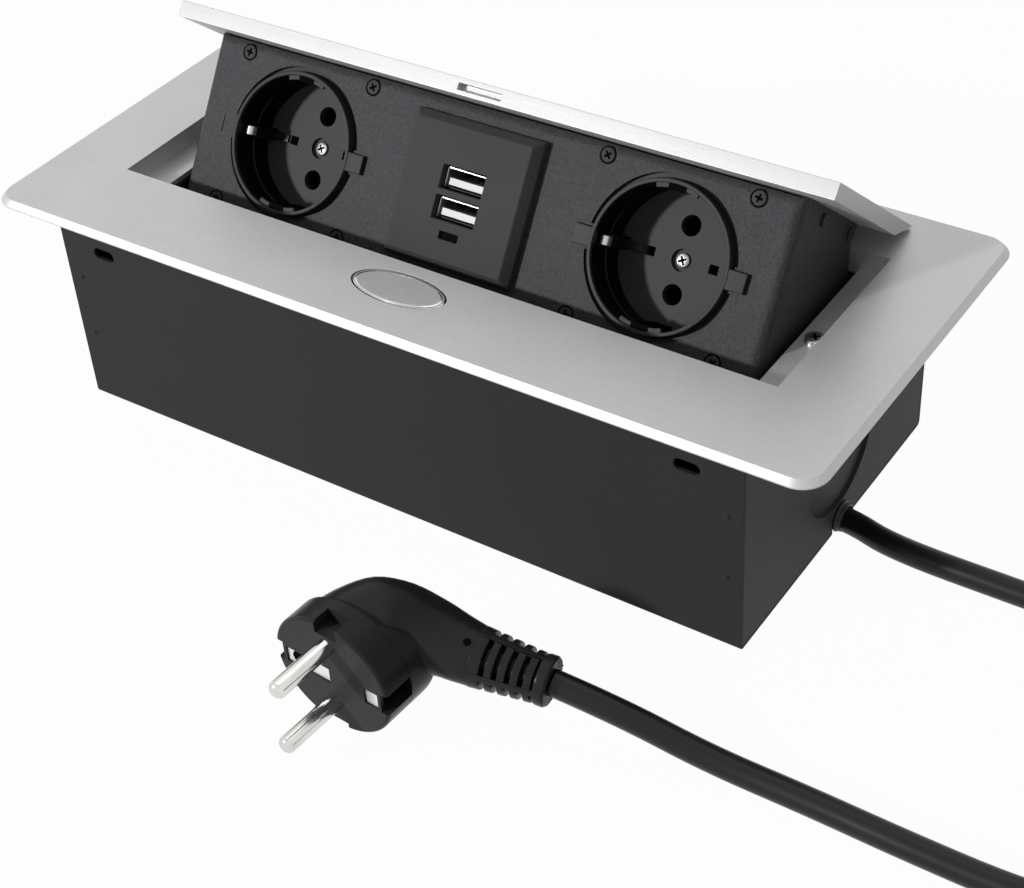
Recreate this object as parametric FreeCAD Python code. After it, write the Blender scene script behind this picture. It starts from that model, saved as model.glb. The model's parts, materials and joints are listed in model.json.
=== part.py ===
import FreeCAD, Part
import math
import os

# Pop-up power strip that drops into a worktop: two earthed sockets and a twin USB charger
# on a module that tilts up out of a steel box under an aluminium cover frame.
# Millimetres. +X runs along the strip, +Y to the back, +Z up, z = 0 is the floor under the box.

V = FreeCAD.Vector
X_AXIS = V(1, 0, 0)
Y_AXIS = V(0, 1, 0)
Z_AXIS = V(0, 0, 1)

# Tilting module, drawn shut and then turned up about its pivots
open_angle = 39.9
module_sheet = 1.5
module_half_width = 95.5
module_bend_radius = 3.0
module_floor_gap = 4.9
panel_lean = 6.6
panel_above = 25.57
panel_setback = 11.6
lid_thickness = 4.7
lid_overhang = 10.2
lid_side_gap = 1.4
lid_front_gap = 0.9
lid_back_gap = 1.9
lid_bevel_length = 10.5
latch_slot_width = 14.0
latch_slot_height = 1.9
latch_slot_drop = 1.5
latch_slot_depth = 2.6
bracket_thickness = 1.5
bracket_width = 12.0
bracket_drop = 7.0
bracket_front_reach = 19.5
bracket_length = 28.5
lid_screw_reaches = (24.4, 45.5)
lid_screw_drop = 3.4
lid_screw_radius = 1.2
lid_screw_head_radius = 1.9
lid_screw_head = 0.7
rear_sheet = 1.2
rear_setback = 20.2
rear_top_setback = 23.3
rear_gap = 0.2
vent_height = 2.4
vent_half_width = 12.0
vent_columns = (-60, -20, 20, 60)
vent_rows = (14.0, 20.0, 26.0)

# Cover frame
frame_thickness = 2.0
frame_corner_radius = 12.0
frame_bevel = 1.6
frame_overhang_x = 21.3
frame_overhang_y = 5.25
frame_seat = 0.3
frame_seat_gap = 0.3
opening_depth = 63.7
front_border = 25.5
back_border = 18.8
collar_depth = 7.8
collar_wall = 1.5
collar_box_gap = 1.9
ledge_width = 8.9
ledge_thickness = 1.5
frame_screw_reach = 29.0
frame_screw_radius = 1.4
frame_screw_gap = 0.15
frame_screw_length = 6.0
frame_screw_head_radius = 2.7
frame_screw_head = 1.3

# Steel box
box_height = 65.0
box_sheet = 1.2
box_bend_radius = 1.6
slot_length = 7.6
slot_width = 3.6
slot_spacing = 191.8
slot_drop = 9.8
weld_flange = 11.0
shelf_back_reach = 56.5
shelf_front_reach = 4.5
knockout_radius = 19.0
knockout_reach = 29.1
knockout_centre_z = 27.8
knockout_overlap = 2.2
knockout_thickness = 1.0
knockout_foot_gap = 0.3

# Pivots and lift springs
pivot_setback = 8.3
pivot_drop = 19.7
pivot_pin_radius = 2.5
pivot_running_gap = 0.05
pivot_ear_radius = 7.6
pin_inner_length = 3.0
pin_collar = 1.6
pin_collar_radius = 4.6
bush_radius = 4.2
bush_flange_radius = 6.0
bush_flange = 1.0
bush_stand_out = 0.6
lift_spring_turns = 4
steps_per_turn = 12
lift_spring_gap = 0.3
lift_coil_radius = 3.6
lift_wire_radius = 0.7

# Sockets
socket_edge_distance = 34.7
well_radius = 19.5
well_step = 0.5
well_step_depth = 9.0
collar_radius = 20.6
collar_height = 1.7
panel_hole_radius = 22.2
cup_radius = 21.4
well_depth = 15.5
well_floor = 2.5
pin_spacing = 19.0
pin_radius = 2.4
pin_length = 19.0
pin_hole_radius = 2.9
contact_radius = 3.6
contact_length = 10.0
holder_width = 24.0
holder_height = 11.0
holder_depth = 12.0
flange_half_width = 25.5
flange_edge_gap = 1.27
flange_thickness = 2.5
flange_corner_radius = 3.0
ear_width = 6.2
ear_reach = 26.4
ear_height = 1.5
ear_gap = 0.35
key_width = 5.4
key_height = 1.7
key_drop = 1.6
key_notch_width = 4.2
key_notch_depth = 0.8
key_notch_height = 2.4
clip_u = 16.8
clip_width = 2.8
clip_thickness = 0.8
clip_window_half_u = 1.1
clip_window_half_v = 1.8
hook_slot = (8.2, 11.0)
hook_slot_half_v = 1.3
screw_offset_u = 22.3
screw_edge = 2.5
screw_head_radius = 2.6
screw_shank_radius = 1.4
screw_length = 7.0
socket_screw_head_radius = 2.4
socket_screw_head = 1.8
socket_screw_recess = 1.2
socket_screw_recess_radius = 3.1
socket_screw_length = 8.0

# USB charger
usb_base_width = 41.6
usb_base_height = 41.0
usb_base_step = 2.0
usb_chamfer = 2.2
usb_chamfer_height = 2.6
usb_body_width = 38.0
usb_body_height = 37.0
usb_body_depth = 17.0
usb_body_gap = 0.2
usb_wall = 1.6
usb_board_thickness = 1.6
port_spacing = 8.4
port_window_width = 13.8
port_window_height = 6.6
port_width = 13.0
port_height = 5.6
port_sheet = 0.4
port_length = 12.0
port_recess = 2.1
tongue_width = 11.0
tongue_thickness = 1.9
tongue_setback = 0.6
led_window_width = 6.2
led_window_height = 2.2
led_gap = 0.1
led_v = -11.3

# Push button and latch
button_x = -0.2
button_setback = 11.1
button_length = 29.5
button_width = 13.2
button_gap = 0.3
button_travel = 2.0
button_flange = 0.4
button_post_radius = 3.0
button_tip_radius = 1.9
button_tip_reach = 1.0
button_tip_gap = 0.08
button_spring_turns = 3
button_coil_radius = 4.3
button_wire_radius = 0.45
latch_travel = 1.5
latch_engagement = 0.8
latch_gap = 0.3
latch_riser = 1.0
latch_tongue_width = 12.0
latch_tongue_thickness = 1.0
latch_tongue_drop = 0.15
latch_window_gap = 0.4
latch_bevel = 1.0
latch_slide_drop = 9.0
latch_slide_thickness = 1.5
latch_slide_half_width = 13.0
latch_slide_lead = 2.4
cam_leg_x = 8.0
cam_leg_width = 2.5
cam_leg_depth = 2.4
cam_leg_lead = 4.4
cam_clearance = 0.1
spring_room = 5.8
guide_half_width = 19.5
guide_wall = 2.0
guide_drop = 15.0
guide_rail = 1.5
guide_front_gap = 0.4
guide_back_gap = 4.0

# Supply entry
cord_diameter = 7.0
gland_y = 2.3
gland_z = 3.7
gland_hole_radius = 4.2
gland_flange_radius = 5.2
gland_flange = 1.2
gland_sleeve_length = 20.0
gland_sleeve_root_radius = 4.8
gland_sleeve_tip_radius = 3.9
gland_flat_z = 0.9
gland_nut_radius = 5.2
gland_nut_length = 3.0
gland_reach = 8.0
terminal_poles = 3
terminal_pitch = 10.0
terminal_setback = 20.0
terminal_end_distance = 22.5
terminal_depth = 12.0
terminal_base = 6.0
terminal_height = 13.0
terminal_hole_radius = 1.7
terminal_hole_height = 8.0
terminal_tower_half = 4.2
terminal_screw_radius = 2.0

# Plug, standing on its edge in front of the box
plug_front_distance = 73.6
plug_face_x = 37.9
plug_face_z = 18.6
plug_yaw = -4.2
plug_radius = 18.5
plug_head_depth = 9.0
plug_edge = 1.0
plug_shoulder_start = 8.7
plug_shoulder_depth = 17.5
plug_groove_length = 15.0
plug_key_length = 8.0
plug_key_width = 5.8
plug_key_depth = 2.4
plug_earth_width = 6.4
plug_earth_depth = 2.6
plug_contact_thickness = 0.8
plug_contact_width = 5.0
plug_plate_width = 5.8
plug_plate_depth = 1.2
left_plate_end = -0.6
right_plate_start = 10.2
earth_hole_side = -10.0
earth_hole_radius = 2.4
earth_hole_depth = 7.0
plug_ring_steps = 24
plug_pin_root_radius = 1.8
plug_pin_root = 6.0
plug_pin_nose = 2.0
plug_pin_tip_radius = 1.3
plug_relief_radius = 7.0
plug_relief_tip_radius = 6.3
relief_groove = 1.8
relief_pitch = 3.3
relief_grooves = 5
relief_groove_depth = 1.9
bar_angle = 58
bar_half = 0.8

# Values worked out from the ones above
lean = math.radians(panel_lean)
lid_half_length = module_half_width + lid_overhang
opening_half_length = lid_half_length + lid_side_gap
end_inside = opening_half_length + collar_wall + collar_box_gap
box_length = 2 * (end_inside + box_sheet)
box_depth = front_border + opening_depth + back_border
frame_top = box_height + frame_thickness
frame_underside = box_height + frame_seat
lid_bottom = frame_top - lid_thickness
frame_length = box_length + 2 * frame_overhang_x
frame_depth = box_depth + 2 * frame_overhang_y
opening_front_y = -box_depth / 2 + front_border
opening_back_y = opening_front_y + opening_depth
frame_screw_y = opening_front_y + frame_screw_reach
frame_screw_x = opening_half_length - ledge_width / 2
ledge_top = frame_top - collar_depth + ledge_thickness
shelf_top = frame_top - collar_depth
knockout_centre_y = opening_front_y + knockout_reach
pivot_y = opening_back_y + pivot_setback
pivot_z = lid_bottom - pivot_drop
pivot = V(0, pivot_y, pivot_z)
panel_origin_y = opening_front_y + panel_setback
panel_origin_z = lid_bottom - panel_above * math.cos(lean)
module_bottom = box_sheet + module_floor_gap
panel_below = (panel_origin_z - module_bottom) / math.cos(lean)
side_inside = module_half_width - module_sheet
rear_wall_y = pivot_y - rear_setback
rear_top_y = pivot_y - rear_top_setback
lid_front_y = opening_front_y + lid_front_gap
lid_back_y = opening_back_y - lid_back_gap
bracket_front_y = opening_front_y + bracket_front_reach
bracket_back_y = bracket_front_y + bracket_length
lid_screw_ys = [opening_front_y + reach for reach in lid_screw_reaches]
lid_screw_z = lid_bottom - lid_screw_drop
socket_offset = module_half_width - socket_edge_distance
well_floor_h = collar_height - well_depth
well_back_h = well_floor_h - well_floor
step_radius = well_radius - well_step
flange_half_height = panel_above - flange_edge_gap
screw_offset_v = flange_half_height - screw_edge
port_face_h = usb_base_step + usb_chamfer_height
button_y = opening_front_y - button_setback
latch_slide_z = box_height - latch_slide_drop
latch_slide_front_y = button_y - latch_slide_lead
latch_slide_top = latch_slide_z + latch_slide_thickness
latch_tongue_top = box_height - latch_tongue_drop
latch_tongue_z = latch_tongue_top - latch_tongue_thickness
guide_floor_z = box_height - guide_drop
guide_floor_top = guide_floor_z + guide_wall
cord_radius = cord_diameter / 2
wall_x = box_length / 2
box_front_y = -box_depth / 2
plug_face_centre = V(plug_face_x, box_front_y - plug_front_distance, plug_face_z)


def block(x0, x1, y0, y1, z0, z1):
    """A box between two corners."""
    return Part.makeBox(x1 - x0, y1 - y0, z1 - z0, V(x0, y0, z0))


def rod(radius, start, end):
    """A round bar from one point to another."""
    direction = end.sub(start)
    return Part.makeCylinder(radius, direction.Length, start, direction)


def prism_x(points, x0, x1):
    """A y-z outline pushed along X."""
    corners = [V(x0, y, z) for y, z in points]
    face = Part.Face(Part.makePolygon(corners + corners[:1]))
    return face.extrude(V(x1 - x0, 0, 0))


def rounded_plate(length, depth, radius, z0, z1):
    """A rectangular plate with round corners, centred on the Z axis."""
    plate = block(-length / 2, length / 2, -depth / 2, depth / 2, z0, z1)
    uprights = [e for e in plate.Edges if abs(e.Vertexes[0].Z - e.Vertexes[-1].Z) > (z1 - z0) / 2]
    return plate.makeFillet(radius, uprights)


def oval(length, width, z0, z1, cx, cy):
    """An elliptical column standing at (cx, cy)."""
    curve = Part.Ellipse(V(cx, cy, z0), length / 2, width / 2).toShape()
    return Part.Face(Part.Wire(curve)).extrude(V(0, 0, z1 - z0))


def slot_cutter(x, z, y0, y1):
    """An oblong hole along X through a wall that faces Y."""
    half = (slot_length - slot_width) / 2
    radius = slot_width / 2
    cutter = block(x - half, x + half, y0, y1, z - radius, z + radius)
    for end in (x - half, x + half):
        cutter = cutter.fuse(rod(radius, V(end, y0, z), V(end, y1, z)))
    return cutter


def mirror_x(shape):
    return shape.mirror(V(0, 0, 0), X_AXIS)


def tilted(shape):
    """Turn a piece of the shut module up to the open rest pose."""
    turned = shape.copy()
    turned.rotate(pivot, X_AXIS, -open_angle)
    return turned


def on_shut_panel(shape):
    """Put a piece drawn in the panel's own u, v, h frame on the shut module."""
    placed = shape.copy()
    placed.rotate(V(0, 0, 0), X_AXIS, 90 + panel_lean)
    placed.translate(V(0, panel_origin_y, panel_origin_z))
    return placed


def on_panel(shape):
    """Put a piece drawn in the panel's own u, v, h frame on the open module."""
    return tilted(on_shut_panel(shape))


def coil_spring(start, axis, turns, pitch, coil_radius, wire_radius):
    """A spring of short straight lengths of wire, whose axis starts at a point."""
    corners = []
    for i in range(turns * steps_per_turn + 1):
        angle = 2 * math.pi * i / steps_per_turn
        corners.append(V(coil_radius * math.cos(angle), coil_radius * math.sin(angle), pitch * i / steps_per_turn))
    section = []
    for i in range(6):
        angle = math.radians(60 * i)
        section.append(corners[0].add(V(wire_radius * math.cos(angle), 0, wire_radius * math.sin(angle))))
    wire = Part.makePolygon(corners)
    spring = wire.makePipeShell([Part.makePolygon(section + section[:1])], True, False, 1)
    if axis == X_AXIS:
        spring.rotate(V(0, 0, 0), Y_AXIS, 90)
    spring.translate(start)
    return spring


# Cover frame

def cover_frame():
    plate = rounded_plate(frame_length, frame_depth, frame_corner_radius, box_height, frame_top)
    top_rim = [e for e in plate.Edges
               if min(v.Z for v in e.Vertexes) > frame_top - 0.01]
    plate = plate.makeChamfer(frame_bevel, top_rim)
    seat_x = box_length / 2 + frame_seat_gap
    seat_y = box_depth / 2 + frame_seat_gap
    plate = plate.cut(block(-seat_x, seat_x, -seat_y, seat_y, box_height - 1, frame_underside))
    outer = block(-opening_half_length - collar_wall, opening_half_length + collar_wall,
                  opening_front_y - collar_wall, opening_back_y + collar_wall,
                  shelf_top, frame_underside)
    body = plate.fuse(outer)
    body = body.cut(block(-opening_half_length, opening_half_length,
                          opening_front_y, opening_back_y, ledge_top, frame_top + 1))
    inner_half = opening_half_length - ledge_width
    body = body.cut(block(-inner_half, inner_half, opening_front_y, opening_back_y,
                          shelf_top - 1, ledge_top + 1))
    body = body.cut(oval(button_length + 2 * button_gap, button_width + 2 * button_gap,
                         box_height - 1, frame_top + 1, button_x, button_y))
    body = body.cut(tongue_window())
    for x in (-frame_screw_x, frame_screw_x):
        body = body.cut(rod(frame_screw_radius + frame_screw_gap, V(x, frame_screw_y, ledge_top - 5),
                            V(x, frame_screw_y, ledge_top + 1)))
    return body.removeSplitter()


def tongue_window():
    """The window in the collar's front wall that the latch tongue slides through."""
    half = latch_tongue_width / 2 + latch_window_gap
    return block(-half, half, opening_front_y - collar_wall - 1, opening_front_y + 1,
                 latch_tongue_z - latch_window_gap, box_height)


def frame_screws():
    screws = []
    for x in (-frame_screw_x, frame_screw_x):
        seat = V(x, frame_screw_y, ledge_top)
        head = Part.makeCone(frame_screw_head_radius, frame_screw_head_radius - 0.5, frame_screw_head, seat)
        shank = Part.makeCylinder(frame_screw_radius, frame_screw_length, seat.sub(V(0, 0, frame_screw_length)))
        screws.append(head.fuse(shank))
    return Part.makeCompound(screws)


# Steel box

def housing_shell():
    outer = block(-wall_x, wall_x, -box_depth / 2, box_depth / 2, 0, frame_underside)
    bends = [e for e in outer.Edges
             if e.Vertexes[0].Z < 0.01 and e.Vertexes[-1].Z < 0.01 and abs(e.tangentAt(0).x) > 0.9]
    outer = outer.makeFillet(box_bend_radius, bends)
    half_depth = box_depth / 2 - box_sheet
    inner = block(-box_length, box_length, -half_depth, half_depth, box_sheet, frame_underside + 1)
    shell = outer.cut(inner)
    slot_z = box_height - slot_drop
    for x in (-slot_spacing / 2, slot_spacing / 2):
        shell = shell.cut(slot_cutter(x, slot_z, -box_depth, box_depth))
    return shell.cut(gland_notch()).removeSplitter()


def end_plate(side):
    """An end wall with its welded side flanges and the shelf that the cover frame is screwed to."""
    inside = end_inside
    half_depth = box_depth / 2 - box_sheet
    plate = block(inside, wall_x, -half_depth, half_depth, box_sheet, frame_underside)
    for y0 in (-half_depth, half_depth - box_sheet):
        plate = plate.fuse(block(inside - weld_flange, inside, y0, y0 + box_sheet,
                                 box_sheet, box_height - slot_drop - slot_width))
    shelf = block(opening_half_length - ledge_width, inside, opening_front_y + shelf_front_reach,
                  opening_front_y + shelf_back_reach, shelf_top - box_sheet, shelf_top)
    plate = plate.fuse(shelf)
    plate = plate.cut(rod(knockout_radius, V(inside - 1, knockout_centre_y, knockout_centre_z),
                          V(inside + 5, knockout_centre_y, knockout_centre_z)))
    plate = plate.cut(rod(pivot_pin_radius, V(inside - 1, pivot_y, pivot_z), V(inside + 5, pivot_y, pivot_z)))
    plate = plate.cut(rod(frame_screw_radius, V(frame_screw_x, frame_screw_y, shelf_top - 5),
                          V(frame_screw_x, frame_screw_y, shelf_top + 1)))
    if side < 0:
        return mirror_x(plate)
    return plate.cut(gland_notch())


def knockout_disc(side):
    """The blanking disc that closes the round hole in an end wall from the inside."""
    x = end_inside
    start = V(x - knockout_thickness, knockout_centre_y, knockout_centre_z)
    disc = rod(knockout_radius + knockout_overlap, start, V(x, knockout_centre_y, knockout_centre_z))
    disc = disc.cut(block(x - 2, x + 1, -40, 40, 0, gland_z + gland_nut_radius + knockout_foot_gap))
    return disc if side > 0 else mirror_x(disc)


def pivot_pin(side):
    """A shouldered pin that is riveted in the end wall and carries the module."""
    head = V(wall_x, pivot_y, pivot_z)
    tip = V(side_inside - pin_inner_length, pivot_y, pivot_z)
    pin = rod(pivot_pin_radius, tip, head)
    collar = rod(pin_collar_radius, V(end_inside - pin_collar, pivot_y, pivot_z), V(end_inside, pivot_y, pivot_z))
    pin = pin.fuse(collar)
    return pin if side > 0 else mirror_x(pin)


def lift_spring(side):
    """The torsion spring on a pivot pin, between the module's side and the pin's collar."""
    inner_x = module_half_width + bush_stand_out + lift_spring_gap
    room = end_inside - pin_collar - lift_spring_gap - inner_x - 2 * lift_wire_radius
    start = V(inner_x + lift_wire_radius, pivot_y, pivot_z)
    spring = coil_spring(start, X_AXIS, lift_spring_turns, room / lift_spring_turns,
                         lift_coil_radius, lift_wire_radius)
    return spring if side > 0 else mirror_x(spring)


# Tilting module

def side_outline():
    """The y-z outline of a side wall of the shut module, round the pivot and clear of the cover frame."""

    def panel_point(v):
        return (panel_origin_y - v * math.sin(lean), panel_origin_z + v * math.cos(lean))

    ear = pivot_ear_radius
    return [panel_point(panel_above), panel_point(-panel_below), (rear_wall_y, module_bottom),
            (pivot_y, pivot_z - ear), (pivot_y, pivot_z), (pivot_y - 3.0, pivot_z + ear - 0.8),
            (pivot_y - 17.6, pivot_z + 6.6), (rear_top_y, pivot_z + 13.6), (rear_top_y, lid_bottom)]


def module_shell():
    """The folded front panel and side walls, with the openings for the inserts and the pivot bushes."""
    outer = prism_x(side_outline(), -module_half_width, module_half_width)
    outer = outer.makeFillet(module_bend_radius, [e for e in outer.Edges if is_fold(e)])
    ears = rod(pivot_ear_radius, V(-module_half_width, pivot_y, pivot_z), V(module_half_width, pivot_y, pivot_z))
    hollow = block(-side_inside, side_inside, -100, 100, -200, -module_sheet)
    inner_folds = [e for e in hollow.Edges
                   if abs(e.tangentAt(0).y) > 0.9 and e.Vertexes[0].Z > -module_sheet - 0.01]
    hollow = on_shut_panel(hollow.makeFillet(module_bend_radius - module_sheet, inner_folds))
    shell = outer.fuse(ears).cut(hollow).removeSplitter()
    for x0 in (-module_half_width, side_inside):
        shell = shell.cut(rod(bush_radius, V(x0 - 1, pivot_y, pivot_z), V(x0 + 3, pivot_y, pivot_z)))
        for y in lid_screw_ys:
            shell = shell.cut(rod(lid_screw_radius, V(x0 - 1, y, lid_screw_z), V(x0 + 3, y, lid_screw_z)))
    return tilted(shell).cut(on_panel(panel_cutters()))


def is_fold(edge):
    """True for the two outer edges where the panel turns into a side wall."""
    ends = [edge.Vertexes[0].Point, edge.Vertexes[-1].Point]
    if any(abs(abs(p.x) - module_half_width) > 0.01 for p in ends):
        return False
    normal = V(0, -math.cos(lean), -math.sin(lean))
    origin = V(0, panel_origin_y, panel_origin_z)
    on_face = all(abs(p.sub(origin).dot(normal)) < 0.01 for p in ends)
    return on_face and ends[0].sub(ends[1]).Length > 20


def socket_screw_points(u0):
    return [(u0 + a, b) for a in (-screw_offset_u, screw_offset_u) for b in (-screw_offset_v, screw_offset_v)]


def countersink(u, v):
    """The cone of a countersunk screw head that is flush with the panel."""
    return Part.makeCone(screw_shank_radius, screw_head_radius, module_sheet, V(u, v, -module_sheet))


def panel_cutters():
    cutters = []
    for u0 in (-socket_offset, socket_offset):
        cutters.append(Part.makeCylinder(panel_hole_radius, 6, V(u0, 0, -4)))
        reach = ear_reach + ear_gap
        half_v = ear_width / 2 + ear_gap
        cutters.append(block(u0 - reach, u0 + reach, -half_v, half_v, -4, 2))
        cutters += [countersink(a, b) for a, b in socket_screw_points(u0)]
    half_w = usb_body_width / 2 + usb_body_gap
    half_h = usb_body_height / 2 + usb_body_gap
    cutters.append(block(-half_w, half_w, -half_h, half_h, -4, 2))
    return Part.makeCompound(cutters)


def panel_screws():
    screws = []
    for u0 in (-socket_offset, socket_offset):
        for a, b in socket_screw_points(u0):
            shank = Part.makeCylinder(screw_shank_radius, screw_length, V(a, b, -module_sheet - screw_length))
            screws.append(countersink(a, b).fuse(shank))
    return on_panel(Part.makeCompound(screws))


def lid():
    """The lid: a thick plate with a bevelled back edge and the latch slot in its front edge."""
    bevel_start = lid_back_y - lid_bevel_length
    outline = [(lid_front_y, lid_bottom), (bevel_start, lid_bottom), (lid_back_y, frame_top - 0.4),
               (lid_back_y, frame_top), (lid_front_y, frame_top)]
    plate = prism_x(outline, -lid_half_length, lid_half_length)
    slot_top = frame_top - latch_slot_drop
    half = latch_slot_width / 2
    plate = plate.cut(block(-half, half, lid_front_y - 1, lid_front_y + latch_slot_depth,
                            slot_top - latch_slot_height, slot_top))
    return tilted(plate)


def lid_bracket(side):
    """The angle that joins the lid to a side wall."""
    inside = side_inside
    upright = block(inside - bracket_thickness, inside, bracket_front_y, bracket_back_y,
                    lid_bottom - bracket_drop, lid_bottom)
    shelf = block(inside - bracket_width, inside, bracket_front_y, bracket_back_y,
                  lid_bottom - bracket_thickness, lid_bottom)
    bracket = upright.fuse(shelf).removeSplitter()
    for y in lid_screw_ys:
        bracket = bracket.cut(rod(lid_screw_radius, V(inside - 4, y, lid_screw_z), V(inside + 1, y, lid_screw_z)))
    bracket = tilted(bracket)
    return bracket if side > 0 else mirror_x(bracket)


def lid_screws():
    screws = []
    for y in lid_screw_ys:
        seat = V(module_half_width, y, lid_screw_z)
        head = rod(lid_screw_head_radius, seat, seat.add(V(lid_screw_head, 0, 0)))
        shank = rod(lid_screw_radius, seat.sub(V(module_sheet + bracket_thickness + 1.5, 0, 0)), seat)
        screw = tilted(head.fuse(shank))
        screws += [screw, mirror_x(screw)]
    return Part.makeCompound(screws)


def pivot_bush(side):
    """The flanged plastic bush in a side wall, which turns on the pivot pin."""
    x0 = side_inside - bush_flange
    bush = rod(bush_radius, V(x0, pivot_y, pivot_z), V(module_half_width + bush_stand_out, pivot_y, pivot_z))
    bush = bush.fuse(rod(bush_flange_radius, V(x0, pivot_y, pivot_z), V(side_inside, pivot_y, pivot_z)))
    bush = bush.cut(rod(pivot_pin_radius + pivot_running_gap,
                        V(x0 - 5, pivot_y, pivot_z), V(module_half_width + 5, pivot_y, pivot_z)))
    return bush if side > 0 else mirror_x(bush)


def rear_cover():
    """The folded back and floor of the module, between the side walls."""
    y = rear_wall_y
    top_y = rear_top_y - rear_gap
    sheet = rear_sheet
    front_y = panel_origin_y + panel_below * math.sin(lean) + module_sheet + 0.5
    outline = [(front_y, module_bottom), (y, module_bottom), (y, pivot_z + 9.2), (top_y, pivot_z + 13.4),
               (top_y, lid_bottom), (top_y - sheet, lid_bottom), (top_y - sheet, pivot_z + 13.8),
               (y - sheet, pivot_z + 9.7), (y - sheet, module_bottom + sheet), (front_y, module_bottom + sheet)]
    cover = prism_x(outline, -side_inside, side_inside)
    for x in vent_columns:
        for z in vent_rows:
            cover = cover.cut(block(x - vent_half_width, x + vent_half_width, y - 5, y + 5, z, z + vent_height))
    for x0 in (-side_inside, side_inside - bracket_width):
        cover = cover.cut(block(x0, x0 + bracket_width, y - 12, bracket_back_y + rear_gap,
                                lid_bottom - bracket_drop, lid_bottom + 1))
    return tilted(cover)


# Sockets

def socket_cup(u0):
    """The round wall of a socket with its rim, its flange behind the panel, its ears and its key ribs."""
    flange = block(-flange_half_width, flange_half_width, -flange_half_height, flange_half_height,
                   -module_sheet - flange_thickness, -module_sheet)
    uprights = [e for e in flange.Edges if abs(e.tangentAt(0).z) > 0.9]
    flange = flange.makeFillet(flange_corner_radius, uprights)
    wall = Part.makeCylinder(cup_radius, -module_sheet - well_back_h, V(0, 0, well_back_h))
    rim = Part.makeCylinder(collar_radius, collar_height + module_sheet, V(0, 0, -module_sheet))
    cup = flange.fuse([wall, rim])
    for side in (-1, 1):
        height = 0.0 if u0 < 0 and side < 0 else ear_height
        outer = side * ear_reach
        inner = side * (collar_radius - 0.4)
        cup = cup.fuse(block(min(outer, inner), max(outer, inner), -ear_width / 2, ear_width / 2,
                             -module_sheet, height))
    cup = cup.cut(Part.makeCylinder(step_radius, well_depth + 10, V(0, 0, well_back_h - 1)))
    cup = cup.cut(Part.makeCylinder(well_radius, well_step_depth + 1, V(0, 0, collar_height - well_step_depth)))
    for end in (-1, 1):
        rib = block(-key_width / 2, key_width / 2, well_radius - key_height, well_radius + 0.3,
                    well_floor_h, collar_height - key_drop)
        notches = [block(side * (key_width / 2 + key_notch_width / 2) - key_notch_width / 2,
                         side * (key_width / 2 + key_notch_width / 2) + key_notch_width / 2,
                         well_radius - 2, well_radius + key_notch_depth,
                         collar_height - key_notch_height, collar_height + 1) for side in (-1, 1)]
        if end < 0:
            rib = rib.mirror(V(0, 0, 0), Y_AXIS)
            notches = [n.mirror(V(0, 0, 0), Y_AXIS) for n in notches]
        cup = cup.fuse(rib).cut(Part.makeCompound(notches))
    for a, b in socket_screw_points(0):
        cup = cup.cut(Part.makeCylinder(screw_shank_radius, 10, V(a, b, -8)))
    cup = cup.removeSplitter()
    cup.translate(V(u0, 0, 0))
    return on_panel(cup)


def socket_floor(u0):
    """The disc at the bottom of a well, with pin holes, a seat for its screw and windows for the clips."""
    disc = Part.makeCylinder(step_radius, well_floor, V(0, 0, well_back_h))
    for end in (-1, 1):
        rib = block(-key_width / 2, key_width / 2, well_radius - key_height, well_radius + 1,
                    well_back_h - 1, well_floor_h + 1)
        disc = disc.cut(rib if end > 0 else rib.mirror(V(0, 0, 0), Y_AXIS))
        disc = disc.cut(Part.makeCylinder(pin_hole_radius, well_floor + 2,
                                          V(0, end * pin_spacing / 2, well_back_h - 1)))
        middle = end * (clip_u + clip_thickness / 2)
        disc = disc.cut(block(middle - clip_window_half_u, middle + clip_window_half_u,
                              -clip_window_half_v, clip_window_half_v, well_back_h - 1, well_floor_h + 1))
        slot = sorted([end * hook_slot[0], end * hook_slot[1]])
        disc = disc.cut(block(slot[0], slot[1], -hook_slot_half_v, hook_slot_half_v,
                              well_back_h - 1, well_floor_h + 1))
    seat = well_floor_h - socket_screw_recess
    disc = disc.cut(Part.makeCylinder(socket_screw_recess_radius, socket_screw_recess + 1, V(0, 0, seat)))
    disc = disc.cut(Part.makeCylinder(screw_shank_radius, well_floor + 2, V(0, 0, well_back_h - 1)))
    disc.translate(V(u0, 0, 0))
    return on_panel(disc)


def contact_holders(u0):
    """The two moulded blocks behind a well's floor, each round one pin contact."""
    blocks = []
    for end in (-1, 1):
        v = end * pin_spacing / 2
        holder = block(u0 - holder_width / 2, u0 + holder_width / 2, v - holder_height / 2,
                       v + holder_height / 2, well_back_h - holder_depth, well_back_h)
        bore = Part.makeCylinder(contact_radius, holder_depth + 2, V(u0, v, well_back_h - holder_depth - 1))
        blocks.append(holder.cut(bore))
    return on_panel(Part.makeCompound(blocks))


def pin_contacts(u0):
    """The two brass sleeves behind the pin holes."""
    sleeves = []
    for v in (-pin_spacing / 2, pin_spacing / 2):
        start = V(u0, v, well_back_h - contact_length)
        sleeve = Part.makeCylinder(contact_radius, contact_length, start)
        sleeves.append(sleeve.cut(Part.makeCylinder(pin_hole_radius, contact_length + 2, start.sub(V(0, 0, 1)))))
    return on_panel(Part.makeCompound(sleeves))


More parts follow.
